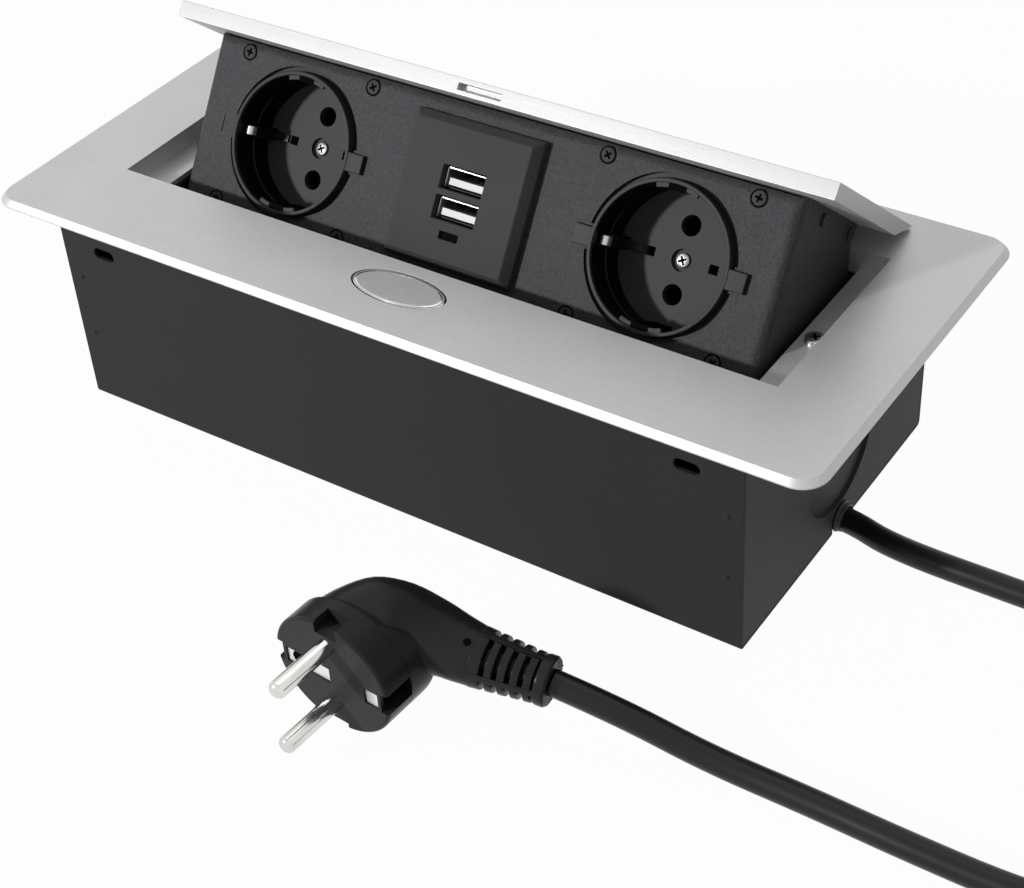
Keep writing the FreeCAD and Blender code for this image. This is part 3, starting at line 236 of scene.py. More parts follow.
# Plug's elbow in millimetres: turn, place beside and behind the face, half width, half height and rise
plug_sections = [
    (0, 0.0, 8.0, 17.2, 15.4, -0.5),
    (12, 0.5, 12.5, 16.0, 15.9, -0.1),
    (34, 3.4, 17.6, 13.2, 17.0, 0.4),
    (56, 9.2, 21.4, 11.0, 13.4, 1.8),
    (69, 15.6, 23.2, 9.8, 9.2, 2.3),
    (75, 21.6, 24.3, 8.8, 7.9, 1.1),
    (77, 27.2, 25.5, 7.8, 7.5, 0.0),
]
elbow_steps = 4
gate_mark_place = Vector((0.02581, 0.02205, 0.00746))
gate_mark_way = Vector((0.299, -0.242, 0.923))
gate_mark_radius = 0.0010
gate_mark_depth = 0.0006
gate_mark_sunk = 0.00022

# Plug's pins
pin_spacing = 0.0190
pin_radius = 0.0024
pin_length = 0.0190
pin_nose = 0.0016
pin_root = 0.004
pin_root_radius = pin_radius - 0.0006

# Free cord and its coil of two layers
cord_diameter = 0.007
cord_hollow = cord_diameter / 2 + 0.00005
coil_centre = Vector((0.2430, -0.0455))
coil_mean_radius = 0.0372
coil_rows = 3
coil_steps = 14
coil_end_turn = 0.5
coil_climb = 0.6
coil_inner_rest = 0.5
coil_outer_rest = 0.2
coil_lower_h = cord_diameter / 2 + 0.0001
coil_upper_h = cord_diameter * 1.5 + 0.0003
cord_to_coil = [
    (0.1025, 0.0023, 0.0037),
    (0.1150, 0.0023, 0.0037),
    (0.1290, -0.0022, 0.0036),
    (0.1650, -0.0021, 0.0036),
    (0.2100, -0.0016, 0.0036),
]
cord_to_plug = [
    (0.2260, -0.0915, 0.0070),
    (0.2030, -0.0930, 0.0038),
    (0.1760, -0.0931, 0.0036),
    (0.1500, -0.0926, 0.0036),
    (0.1250, -0.0943, 0.0054),
    (0.1020, -0.0981, 0.0132),
    (0.0855, -0.1011, 0.0169),
]

# Strain relief: its tapered wall, its bars, and its slots as width and depth, deeper on the flanks
relief_turn = -52.0
relief_overlap = 0.0010
relief_root = 0.0079
relief_tip = 0.0062
relief_ease = 0.0002
relief_bar_middle = 45
relief_bar_half = 7
slot_count = 5
slot_start = 0.0030
slot_pitch = 0.0033
slot_slant = 0.0001
flank_slot = (0.0014, 0.0026)
ridge_slot = (0.0016, 0.0012)
end_ring_length = 0.0030
end_ring_slope = 0.0006
end_ring_rise = 0.0004

# Cord bush, flat underneath: its outline has a collar and a taper
gland_outside = Vector((0.1117, 0.0023, 0.0037))
gland_outline = [(cord_hollow, -0.0080), (0.0042, -0.0080), (0.0042, 0), (0.0046, 0), (0.0046, 0.0006),
                 (0.0042, 0.0010), (0.0040, 0.0022), (cord_hollow, 0.0022)]
gland_ease = 0.00015
gland_flat_z = 0.0009

# Camera at the photograph's angle
camera_place = Vector((0.28413, -0.38246, 0.37019))
camera_azimuth = 36.153
camera_elevation = 38.897
camera_roll = -4.157
camera_lens = 70.9
camera_shift = (-0.0005, -0.0009)

# Floor, sky and lamps: each lamp's name, place, size and power
floor_half_size = 6
floor_grey = 0.6
floor_white_share = 0.97
sky_low = 0.03
sky_high = 0.34
lamp_aim = Vector((0.0, 0.0, 0.05))
lamps = (
    ("key_lamp", (-0.74, -1.26, 0.70), (0.10, 0.10), 18.2),
    ("top_lamp", (-0.2, 0.5, 1.5), (1.4, 0.9), 2),
)

# Steps round a shape, sharp edges in the shading, and small distances
full_turn = 360.0
quarter_turn = [math.radians(15 * i) for i in range(7)]
ring_steps = 120
rib_steps = 8
screw_steps = 36
plain_crease = 40.0
screw_crease = 30
cup_crease = 32
plug_crease = 38
pin_crease = 45
shading_weight = 80
merge_distance = 0.000002
overcut = 0.001
flat_angle = 0.4
eased_angle = 28


def turned(degrees, axis):
    """A turn about an axis through the origin."""
    return Matrix.Rotation(math.radians(degrees), 4, axis)


def pointed(way):
    """The turn that brings Z onto a direction."""
    return way.to_track_quat("Z", "Y").to_matrix().to_4x4()


tilt = Matrix.Translation(pivot) @ turned(-open_angle, "X") @ Matrix.Translation(-pivot)
on_panel = tilt @ Matrix.Translation(panel_origin) @ turned(90 + panel_lean, "X")
on_plug = Matrix.Translation(plug_face) @ turned(plug_yaw, "Z")


def add_object(name, data):
    """A new object in the scene."""
    item = bpy.data.objects.new(name, data)
    bpy.context.scene.collection.objects.link(item)
    return item


def add_camera():
    """The camera that sees the object as the photograph does."""
    data = bpy.data.cameras.new("camera")
    data.lens = camera_lens
    data.sensor_width = 36.0
    data.sensor_fit = "HORIZONTAL"
    data.shift_x, data.shift_y = camera_shift
    data.clip_start = 0.01
    camera = add_object("camera", data)
    turn = turned(camera_azimuth, "Z") @ turned(90 - camera_elevation, "X") @ turned(camera_roll, "Z")
    camera.matrix_world = Matrix.Translation(camera_place) @ turn
    bpy.context.scene.camera = camera


add_camera()

# Materials

shade_range = (0.3, 0.7)
fine_detail = 3
slow_detail = 4
fine_share = 0.55
slow_share = 0.45
gloss_change = 0.05
brushed = (0.5, 1.0, 1.0)
drawn = (1.0, 0.1, 1.0)


def new_material(name):
    """A material, with its nodes, its links and its main shader."""
    material = bpy.data.materials.new(name)
    material.use_nodes = True
    tree = material.node_tree
    return material, tree.nodes, tree.links, tree.nodes["Principled BSDF"]


def noise(tree_nodes, links, scale, detail, coordinates, stretch=None):
    """A noise texture on the piece's own object coordinates, stretched where asked."""
    texture = tree_nodes.new("ShaderNodeTexNoise")
    texture.inputs["Scale"].default_value = scale
    texture.inputs["Detail"].default_value = detail
    if stretch:
        mapping = tree_nodes.new("ShaderNodeMapping")
        mapping.inputs["Scale"].default_value = stretch
        links.new(coordinates, mapping.inputs["Vector"])
        coordinates = mapping.outputs["Vector"]
    links.new(coordinates, texture.inputs["Vector"])
    return texture.outputs["Fac"]


def ramp(tree_nodes, links, value, dark, light):
    """Two colours blended over the middle of a value's range."""
    colours = tree_nodes.new("ShaderNodeValToRGB")
    first, last = colours.color_ramp.elements
    first.position, last.position = shade_range
    first.color = (*dark, 1)
    last.color = (*light, 1)
    links.new(value, colours.inputs["Fac"])
    return colours.outputs["Color"]


def spread(tree_nodes, links, value, low, high):
    """A value moved from 0..1 to a new range."""
    change = tree_nodes.new("ShaderNodeMapRange")
    change.inputs["To Min"].default_value = low
    change.inputs["To Max"].default_value = high
    links.new(value, change.inputs["Value"])
    return change.outputs["Result"]


def bump(tree_nodes, links, shader, value, depth, strength):
    """A fine relief on the shader's surface."""
    relief = tree_nodes.new("ShaderNodeBump")
    relief.inputs["Distance"].default_value = depth
    relief.inputs["Strength"].default_value = strength
    links.new(value, relief.inputs["Height"])
    links.new(relief.outputs["Normal"], shader.inputs["Normal"])


def grained(name, dark, light, rough, grain, depth=0.00001, strength=0.2, metallic=0.0, mottle=60,
            stretch=None, specular=0.5):
    """A finish with a fine relief, a slow change of shade and a slow change of gloss."""
    material, tree_nodes, links, shader = new_material(name)
    coordinates = tree_nodes.new("ShaderNodeTexCoord").outputs["Object"]
    fine = noise(tree_nodes, links, grain, fine_detail, coordinates, stretch)
    slow = noise(tree_nodes, links, mottle, slow_detail, coordinates)
    slow_part = tree_nodes.new("ShaderNodeMath")
    slow_part.operation = "MULTIPLY"
    slow_part.inputs[1].default_value = slow_share
    links.new(slow, slow_part.inputs[0])
    blend = tree_nodes.new("ShaderNodeMath")
    blend.operation = "MULTIPLY_ADD"
    blend.inputs[1].default_value = fine_share
    links.new(fine, blend.inputs[0])
    links.new(slow_part.outputs[0], blend.inputs[2])
    links.new(ramp(tree_nodes, links, blend.outputs[0], dark, light), shader.inputs["Base Color"])
    gloss = spread(tree_nodes, links, slow, rough - gloss_change, rough + gloss_change)
    links.new(gloss, shader.inputs["Roughness"])
    bump(tree_nodes, links, shader, fine, depth, strength)
    shader.inputs["Metallic"].default_value = metallic
    shader.inputs["Specular IOR Level"].default_value = specular
    return material


# Metals

satin_aluminium = grained(
    "satin_aluminium", (0.57, 0.57, 0.57), (0.64, 0.64, 0.64), rough=0.45, grain=1800,
    depth=0.00003, metallic=0.58, mottle=40, stretch=brushed)
lid_aluminium = grained(
    "lid_aluminium", (0.57, 0.57, 0.57), (0.63, 0.63, 0.63), rough=0.45, grain=1500,
    depth=0.00006, strength=0.5, metallic=0.3)
button_aluminium = grained(
    "button_aluminium", (0.46, 0.46, 0.46), (0.54, 0.54, 0.54), rough=0.45, grain=1800,
    depth=0.00003, metallic=0.30, mottle=40, stretch=brushed)
nickel = grained(
    "nickel", (0.50, 0.50, 0.49), (0.64, 0.64, 0.63), rough=0.42, grain=1200, strength=0.15, metallic=1.0)
pin_nickel = grained(
    "pin_nickel", (0.60, 0.59, 0.57), (0.78, 0.77, 0.75), rough=0.16, grain=1400,
    strength=0.15, metallic=1.0, stretch=drawn)
plate_nickel = grained(
    "plate_nickel", (0.80, 0.80, 0.79), (0.92, 0.92, 0.91), rough=0.5, grain=1200,
    strength=0.15, metallic=0.5)
# The ports' own metal darkened for their lower lips and backs: painted shade
port_painted_shade_metal = grained(
    "port_painted_shade_metal", (0.05, 0.05, 0.045), (0.09, 0.09, 0.08), rough=0.6, grain=1200,
    strength=0.15, metallic=0.3, specular=0.1)
bright_screw = grained(
    "bright_screw", (0.17, 0.17, 0.175), (0.28, 0.28, 0.285), rough=0.42, grain=1500,
    strength=0.15, metallic=1.0)
zinc_steel = grained(
    "zinc_steel", (0.50, 0.51, 0.53), (0.62, 0.63, 0.65), rough=0.28, grain=1500,
    depth=0.00002, metallic=1.0)
# The sockets' brass contacts near black: painted shade of the deep pin holes round them
contact_brass = grained(
    "contact_brass", (0.012, 0.009, 0.005), (0.020, 0.015, 0.008), rough=0.6, grain=1500,
    depth=0.00002, metallic=0.6)

# Coated steel

charcoal_coat = grained(
    "charcoal_coat", (0.028, 0.028, 0.030), (0.034, 0.034, 0.036), rough=0.6, grain=1400,
    depth=0.00003, strength=0.25, mottle=30, specular=0.1)
# A lighter copy of the charcoal coat for the box's end plates and knock-out discs: painted light
end_painted_light_coat = grained(
    "end_painted_light_coat", (0.060, 0.060, 0.062), (0.072, 0.072, 0.074), rough=0.60, grain=1400,
    depth=0.00003, strength=0.25, mottle=30, specular=0.16)
black_coat = grained(
    "black_coat", (0.034, 0.034, 0.0365), (0.076, 0.076, 0.0812), rough=0.50, grain=1500,
    depth=0.00020, strength=1.0, mottle=900, specular=0.12)
black_screw = grained(
    "black_screw", (0.040, 0.040, 0.042), (0.056, 0.056, 0.058), rough=0.5, grain=1500,
    depth=0.00003, strength=0.3, specular=0.1)

# Plastics, rubber and board

gloss_black = grained(
    "gloss_black", (0.006, 0.006, 0.0065), (0.010, 0.010, 0.0105), rough=0.36, grain=900,
    strength=0.1, mottle=50, specular=0.2)
rim_black = grained(
    "rim_black", (0.028, 0.028, 0.030), (0.038, 0.038, 0.040), rough=0.45, grain=900,
    strength=0.1, mottle=50, specular=0.12)
floor_black = grained(
    "floor_black", (0.070, 0.070, 0.074), (0.084, 0.084, 0.088), rough=0.6, grain=900,
    strength=0.1, mottle=50, specular=0.1)
# Near-black for the wells' walls: painted shade, far darker than the same plastic at the collar
well_painted_shade_black = grained(
    "well_painted_shade_black", (0.002, 0.002, 0.0022), (0.004, 0.004, 0.0042), rough=0.3, grain=900,
    strength=0.1, mottle=50, specular=0.08)
satin_black = grained(
    "satin_black", (0.060, 0.060, 0.062), (0.072, 0.072, 0.074), rough=0.55, grain=2200,
    depth=0.00002, strength=0.3, mottle=70, specular=0.03)
# Near-black without gloss: for parts out of sight, and as painted shade in crosses, seats, ribs, holes,
# grooves
hidden_and_painted_shade_black = grained(
    "hidden_and_painted_shade_black", (0.004, 0.004, 0.005), (0.007, 0.007, 0.008), rough=0.6, grain=1500,
    depth=0.00002, mottle=70, specular=0.0)
cord_black = grained(
    "cord_black", (0.007, 0.007, 0.0075), (0.011, 0.011, 0.012), rough=0.36, grain=1600,
    depth=0.00002, strength=0.3, mottle=80, specular=0.28)
plug_black = grained(
    "plug_black", (0.023, 0.023, 0.024), (0.033, 0.033, 0.034), rough=0.26, grain=1900,
    depth=0.00002, strength=0.25, mottle=70, specular=0.08)
led_lens = grained(
    "led_lens", (0.004, 0.004, 0.004), (0.009, 0.009, 0.010), rough=0.4, grain=900,
    strength=0.1, specular=0.0)
white_plastic = grained("white_plastic", (0.70, 0.70, 0.69), (0.80, 0.80, 0.79), rough=0.45, grain=900)
green_board = grained("green_board", (0.010, 0.060, 0.020), (0.016, 0.085, 0.030), rough=0.35, grain=900)

finish_of_slot = {
    "satin_aluminium": satin_aluminium,
    "charcoal_steel": charcoal_coat,
    "black_steel": black_coat,
    "gloss_black": gloss_black,
    "matte_black": satin_black,
    "silver_button": button_aluminium,
    "zinc_steel": zinc_steel,
    "black_screws": black_screw,
    "nickel": nickel,
    "contact_brass": contact_brass,
    "white_plastic": white_plastic,
    "led_lens": led_lens,
    "green_board": green_board,
    "cord_rubber": cord_black,
}
nodes_of_finish = (
    # The box's ends and knock-out discs take the painted-light copy of the coat
    (end_painted_light_coat, ("end_plate_left", "end_plate_right", "knockout_disc_left", "knockout_disc_right")),
    (floor_black, ("socket_floor_left", "socket_floor_right")),
    (hidden_and_painted_shade_black, ("contact_holders_left", "contact_holders_right", "rear_cover")),
)


def dress_nodes():
    """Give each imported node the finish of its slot, and some nodes one of their own."""
    for entry in frame["record"]["subparts"]:
        piece = nodes[entry["node"]]
        piece.data.materials.clear()
        piece.data.materials.append(finish_of_slot[entry["material_slot"]])
    for finish, names in nodes_of_finish:
        for name in names:
            nodes[name].data.materials[0] = finish


dress_nodes()

# Building helpers


def lathe(form, profile, steps, start=0.0, sweep=full_turn):
    """Turn a closed (radius, height) outline about Z, all round or over one sector."""
    angle = math.radians(start)
    all_round = sweep == full_turn
    corners = [form.verts.new((r * math.cos(angle), r * math.sin(angle), h)) for r, h in profile]
    if all_round:
        geometry = corners[:]
        for first, second in zip(corners, corners[1:] + corners[:1]):
            if max(first.co.xy.length, second.co.xy.length) > 0:
                geometry.append(form.edges.new((first, second)))
    else:
        geometry = [form.faces.new(corners)]
    bmesh.ops.spin(form, geom=geometry, cent=(0, 0, 0), axis=(0, 0, 1), dvec=(0, 0, 0),
                   angle=math.radians(sweep), steps=steps, use_merge=all_round)


def block(form, low, high):
    """A box between two corners."""
    low = Vector(low)
    high = Vector(high)
    place = Matrix.Translation((low + high) / 2) @ Matrix.Diagonal((*(high - low), 1))
    bmesh.ops.create_cube(form, size=1, matrix=place)


def block_form(low, high):
    """A form of its own with one box."""
    form = bmesh.new()
    block(form, low, high)
    return form


def rod(form, radius, length, segments, place=Matrix()):
    """A round bar, along Z and centred before it is placed."""
    bmesh.ops.create_cone(form, cap_ends=True, segments=segments, radius1=radius, radius2=radius,
                          depth=length, matrix=place)


def tidy(form, ease=0.0, sharp=35.0, segments=2):
    """Join meeting corners, point the faces outwards and round over the sharp edges."""
    bmesh.ops.remove_doubles(form, verts=form.verts, dist=merge_distance)
    bmesh.ops.recalc_face_normals(form, faces=form.faces)
    if ease:
        edges = [e for e in form.edges
                 if len(e.link_faces) == 2 and e.calc_face_angle(0) > math.radians(sharp)]
        bmesh.ops.bevel(form, geom=edges, offset=ease, offset_type="OFFSET", segments=segments,
                        profile=0.5, affect="EDGES", clamp_overlap=True, material=-1)


def add_copy(target, source, place=Matrix()):
    """The source form's shape once more in the target form, moved."""
    mesh = bpy.data.meshes.new("copy")
    source.to_mesh(mesh)
    mesh.transform(place)
    target.from_mesh(mesh)
    bpy.data.meshes.remove(mesh)


def merge_in(target, source, place=Matrix()):
    """Move the source form into the target form."""
    add_copy(target, source, place)
    source.free()


def carved(form, cutter):
    """The form with the cutter's shape taken out of it. Both are used up."""
    pair = []
    for role, source in (("body", form), ("cutter", cutter)):
        mesh = bpy.data.meshes.new(role)
        source.to_mesh(mesh)
        source.free()
        pair.append(add_object(role, mesh))
    cut = pair[0].modifiers.new("cut", "BOOLEAN")
    cut.operation = "DIFFERENCE"
    cut.solver = "EXACT"
    cut.object = pair[1]
    graph = bpy.context.evaluated_depsgraph_get()
    result = bmesh.new()
    result.from_mesh(pair[0].evaluated_get(graph).data)
    for item in pair:
        mesh = item.data
        bpy.data.objects.remove(item)
        bpy.data.meshes.remove(mesh)
    return result


def slice_off(form, point, away):
    """Take off what lies beyond a plane and close the cut."""
    cut = bmesh.ops.bisect_plane(form, geom=form.verts[:] + form.edges[:] + form.faces[:],
                                 plane_co=point, plane_no=away, clear_outer=True)
    rim = [item for item in cut["geom_cut"] if isinstance(item, bmesh.types.BMEdge)]
    bmesh.ops.holes_fill(form, edges=rim, sides=0)


def add_piece(name, form, finish, body, stands_for=(), place=Matrix(), crease=plain_crease):
    """One finished piece: placed, shaded, riding on its body and standing for its nodes."""
    mesh = bpy.data.meshes.new(name)
    form.to_mesh(mesh)
    form.free()
    mesh.transform(place)
    mesh.materials.append(finish)
    mesh.shade_smooth()
    mesh.set_sharp_from_angle(angle=math.radians(crease))
    piece = add_object(name, mesh)
    even = piece.modifiers.new("even_shading", "WEIGHTED_NORMAL")
    even.keep_sharp = True
    even.weight = shading_weight
    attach(piece, body)
    if stands_for:
        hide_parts(*stands_for)
    return piece


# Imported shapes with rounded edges


def tighten_corners(form):
    """Bring the cover frame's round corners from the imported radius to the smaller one."""
    packed, tight = frame_corner
    shift = packed - tight
    for vert in form.verts:
        reach = Vector((abs(vert.co.x) - frame_half[0] + packed, abs(vert.co.y) - frame_half[1] + packed))
        if min(reach) < -corner_slack or reach.length < shift:
            continue
        moved = Vector((shift, shift)) + reach.normalized() * (reach.length - shift)
        vert.co.x = math.copysign(frame_half[0] - packed + moved.x, vert.co.x)
        vert.co.y = math.copysign(frame_half[1] - packed + moved.y, vert.co.y)


def shrink_button(form):
    """Leave a gap round the button in the frame's hole."""
    low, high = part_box("push_button")
    middle = Matrix.Translation((Vector(low) + Vector(high)) / 2)
    form.transform(middle @ Matrix.Diagonal((*button_shrink, 1)) @ middle.inverted())


def add_eased(node, ease, reshape):
    """The node's own shape as one clean mesh, reshaped where asked, with its sharp edges rounded over."""
    source = nodes[node]
    form = bmesh.new()
    form.from_mesh(source.data)
    bmesh.ops.remove_doubles(form, verts=form.verts, dist=merge_distance)
    bmesh.ops.dissolve_limit(form, angle_limit=math.radians(flat_angle), verts=form.verts,
                             edges=form.edges, delimit=set())
    if reshape:
        reshape(form)
    tidy(form, ease, eased_angle)
    add_piece(node + "_eased", form, source.data.materials[0], source["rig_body"], (node,))


add_eased("cover_frame", 0.00022, tighten_corners)
add_eased("housing_shell", 0.0002, None)
add_eased("usb_cover", 0.0003, None)
add_eased("module_shell", 0.0002, None)
add_eased("push_button", 0.0005, shrink_button)

# Button's ring and spring


def add_button_edge():
    """The polished edge round the oval button."""
    low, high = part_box("push_button")
    half_length = (high[0] - low[0]) / 2 * button_shrink[0]
    half_width = (high[1] - low[1]) / 2 * button_shrink[1]
    edge = ring_width / half_width
    inner = 1 - edge
    outer = 1 + ring_overhang_share * edge
    form = bmesh.new()
    lathe(form, [(inner, -ring_depth), (inner, ring_rise), (1 - ring_land_share * edge, ring_rise),
                 (outer, -ring_slope), (outer, -ring_depth)], ring_steps)
    tidy(form)
    middle = Vector(((low[0] + high[0]) / 2, (low[1] + high[1]) / 2, high[2]))
    form.transform(Matrix.Translation(middle) @ Matrix.Diagonal((half_length, half_width, 1, 1)))
    add_piece("button_edge", form, pin_nickel, "button")


def add_button_coil():
    """The button's return spring, on a mesh of its own; nothing here shortens it as the button goes down."""
    form = bmesh.new()
    form.from_mesh(nodes["button_spring"].data)
    tidy(form)
    coil = add_piece("button_coil", form, zinc_steel, "housing", ("button_spring",))
    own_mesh(coil)


add_button_edge()
add_button_coil()

# Lid


def add_lid():
    """The aluminium lid, bevelled at its back, with the latch's slot in its front edge."""
    outline = [(0, lid_front_y, lid_bottom), (0, lid_back_y - lid_bevel, lid_bottom),
               (0, lid_back_y, lid_top - lid_back_land), (0, lid_back_y, lid_top), (0, lid_front_y, lid_top)]
    form = bmesh.new()
    face = form.faces.new([form.verts.new(corner) for corner in outline])
    grown = bmesh.ops.extrude_face_region(form, geom=[face])["geom"]
    bmesh.ops.translate(form, vec=(2 * lid_half_length, 0, 0),
                        verts=[v for v in grown if isinstance(v, bmesh.types.BMVert)])
    bmesh.ops.translate(form, vec=(-lid_half_length, 0, 0), verts=form.verts)
    tidy(form)
    slot_top = lid_top - slot_drop
    form = carved(form, block_form((-slot_length / 2, lid_front_y - overcut, slot_top - slot_height),
                                   (slot_length / 2, lid_front_y + slot_depth, slot_top)))
    tidy(form, lid_ease)
    add_piece("lid_plate", form, lid_aluminium, "module", ("lid",), tilt)


add_lid()

# Screws


def screw_with_cross(radius, height, crown, arm, width, depth):
    """A round screw head with a cross recess, standing on z = 0, and a dark filling of its cross as painted
    shade.
    """
    shoulder = crown_share * crown
    head = bmesh.new()
    lathe(head, [(0, 0), (radius, 0), (radius, height - crown), (radius - shoulder, height - shoulder),
                 (radius - crown, height), (0, height)], screw_steps)
    tidy(head)
    cross = bmesh.new()
    foot = (-arm, -width, height - depth)
    for turn in (turned(0, "Z"), turned(90, "Z")):
        cutter = block_form(foot, (arm, width, height + overcut))
        cutter.transform(turn)
        head = carved(head, cutter)
        merge_in(cross, block_form(foot, (arm, width, height - cross_sunk)), turn)
    tidy(head)
    return head, cross


def place_screw(screw, place, heads, crosses):
    """Put one screw's head and the filling of its cross at their place."""
    head, cross = screw
    add_copy(heads, head, place)
    add_copy(crosses, cross, place)


def add_screws():
    """Every screw that shows: heads, with dark crosses and the panel screws' seats as painted shade."""
    flat, cheese, pan = (screw_with_cross(*sizes) for sizes in (flat_head, cheese_head, pan_head))
    seat = bmesh.new()
    lathe(seat, panel_seat, screw_steps)
    tidy(seat)
    panel = bmesh.new()
    seats = bmesh.new()
    crosses = bmesh.new()
    for u0 in (-socket_offset, socket_offset):
        for u in (-panel_screw_u, panel_screw_u):
            for v in (-panel_screw_v, panel_screw_v):
                turn = turned(panel_screw_turn + turn_by_u * u + turn_by_v * v + turn_by_socket * u0, "Z")
                place_screw(flat, Matrix.Translation((u0 + u, v, panel_screw_h)) @ turn, panel, crosses)
                add_copy(seats, seat, Matrix.Translation((u0 + u, v, 0)))
    add_piece("panel_screw_heads", panel, black_screw, "module", ("panel_screws",), on_panel, screw_crease)
    # The seats: a dark ring of painted shade in the gap round each panel screw's head
    add_piece("panel_screw_seats", seats, hidden_and_painted_shade_black, "module", (), on_panel, screw_crease)
    pair = bmesh.new()
    for u0 in (-socket_offset, socket_offset):
        place = Matrix.Translation((u0, 0, socket_screw_h)) @ turned(socket_screw_turn, "Z")
        place_screw(cheese, place, pair, crosses)
    add_piece("socket_screw_heads", pair, bright_screw, "module", ("socket_screws",), on_panel, screw_crease)
    add_piece("screw_crosses", crosses, hidden_and_painted_shade_black, "module", (), on_panel, screw_crease)
    ledge = bmesh.new()
    ledge_crosses = bmesh.new()
    for side in (-1, 1):
        place = Matrix.Translation((side * ledge_screw.x, ledge_screw.y, ledge_screw.z))
        place_screw(pan, place @ turned(ledge_screw_turn, "Z"), ledge, ledge_crosses)
    add_piece("ledge_screw_heads", ledge, zinc_steel, "housing", ("frame_screws",), crease=screw_crease)
    add_piece("ledge_screw_crosses", ledge_crosses, hidden_and_painted_shade_black, "housing", crease=screw_crease)
    for form in (*flat, *cheese, *pan, seat):
        form.free()


add_screws()

# Sockets


def cup_lining():
    """The wall of a well, with its step, near-black as painted shade."""
    form = bmesh.new()
    lathe(form, [(step_radius, well_back_h), (step_radius, well_step_h),
                 (well_radius, well_step_h + step_chamfer), (well_radius, collar_foot),
                 (lining_back, collar_foot), (lining_back, well_back_h)], ring_steps)
    tidy(form, rib_ease, 30, 1)
    return form


def cup_ribs():
    """The key ribs at the top and bottom of a well, and the shelves at both sides of each."""
    key = [(key_radius, well_back_h), (key_radius, collar_foot - key_chamfer),
           (key_radius + key_chamfer, collar_foot), (rib_root, collar_foot), (rib_root, well_back_h)]
    shelf = [(shelf_radius, shelf_foot), (shelf_radius, collar_foot), (rib_root, collar_foot),
             (rib_root, shelf_foot)]
    keys = bmesh.new()
    shelves = bmesh.new()
    for middle in (90.0, 270.0):
        lathe(keys, key, rib_steps, middle - key_half_angle, 2 * key_half_angle)
        lathe(shelves, shelf, rib_steps, middle - key_half_angle - shelf_angle, shelf_angle)
        lathe(shelves, shelf, rib_steps, middle + key_half_angle, shelf_angle)
    tidy(keys, rib_ease, 50, 1)
    tidy(shelves, rib_ease, 50, 1)
    return keys, shelves


def cup_collar():
    """The collar round a well, and the flange behind the panel that holds it."""
    form = bmesh.new()
    lathe(form, [(well_radius, collar_foot), (well_radius, rim_height - rim_inner_ease),
                 (well_radius + rim_inner_ease, rim_height), (rim_radius - rim_outer_ease, rim_height),
                 (rim_radius, rim_height - rim_outer_ease), (rim_radius, -cup_foot),
                 (cup_back_radius, -panel_sheet), (lining_back, -panel_sheet),
                 (lining_back, collar_foot)], ring_steps)
    tidy(form)
    bore = bmesh.new()
    rod(bore, flange_bore_radius, flange_bore_length, 96)
    flange = carved(block_form((-flange_half_width, -flange_half_height, flange_back_h),
                               (flange_half_width, flange_half_height, -panel_sheet)), bore)
    tidy(flange)
    merge_in(form, flange)
    return form


def cup_ears(flush_left):
    """The ears beside a rim, and the edges of their cut-outs, where a flush left ear fills its own."""
    ears = bmesh.new()
    edges = bmesh.new()
    inside = cutout_half_width - cutout_edge
    for side in (-1, 1):
        ends = sorted((side * ear_root, side * ear_reach))
        if flush_left and side < 0:
            block(edges, (ends[0], -inside, -panel_sheet), (ends[1], inside, 0))
        else:
            ear = block_form((ends[0], -ear_half_width, -panel_sheet), (ends[1], ear_half_width, ear_height))
            tidy(ear, ear_ease)
            merge_in(ears, ear)
        ends = sorted((side * (cutout_reach - cutout_edge), side * cutout_reach))
        block(edges, (ends[0], -cutout_half_width, -panel_sheet), (ends[1], cutout_half_width, 0))
        ends = sorted((side * cup_back_radius, side * (cutout_reach - cutout_edge)))
        for low in (-cutout_half_width, inside):
            block(edges, (ends[0], low, -panel_sheet), (ends[1], low + cutout_edge, 0))
    tidy(edges)
    return ears, edges


def add_cup(name, node, u0, flush_left):
    """One socket's collar, lining, ribs and ears, at its place on the panel."""
    place = on_panel @ Matrix.Translation((u0, 0, 0))
    keys, shelves = cup_ribs()
    ears, edges = cup_ears(flush_left)
    add_piece(name, cup_collar(), rim_black, "module", (node,), place, cup_crease)
    add_piece(name + "_lining", cup_lining(), well_painted_shade_black, "module", (), place, cup_crease)
    # Keys near-black as painted shade, shelves in the floors' lighter grey as painted light
    add_piece(name + "_keys", keys, hidden_and_painted_shade_black, "module", (), place, cup_crease)
    add_piece(name + "_shelves", shelves, floor_black, "module", (), place, cup_crease)
    add_piece(name + "_ears", ears, rim_black, "module", (), place, cup_crease)
    add_piece(name + "_cutout_edges", edges, black_coat, "module", (), place, cup_crease)


def clip_tip():
    """The flattened round tip of one earth contact."""
    form = bmesh.new()
    rod(form, clip_tip_radius, clip_tip_width, 24)
    form.transform(Matrix.Diagonal((clip_tip_flatness, 1.0, 1.0, 1.0)) @ turned(90, "X"))
    tidy(form, clip_ease)
    return form


def clip_rail(side):
    """The rail that one earth contact stands in, with its heel on the well's floor."""
    form = block_form(*rail_corners)
    ends = sorted(side * end for end in heel_ends)
    block(form, (ends[0], -heel_half_width, heel_heights[0]), (ends[1], heel_half_width, heel_heights[1]))
    tidy(form, clip_ease)
    return form


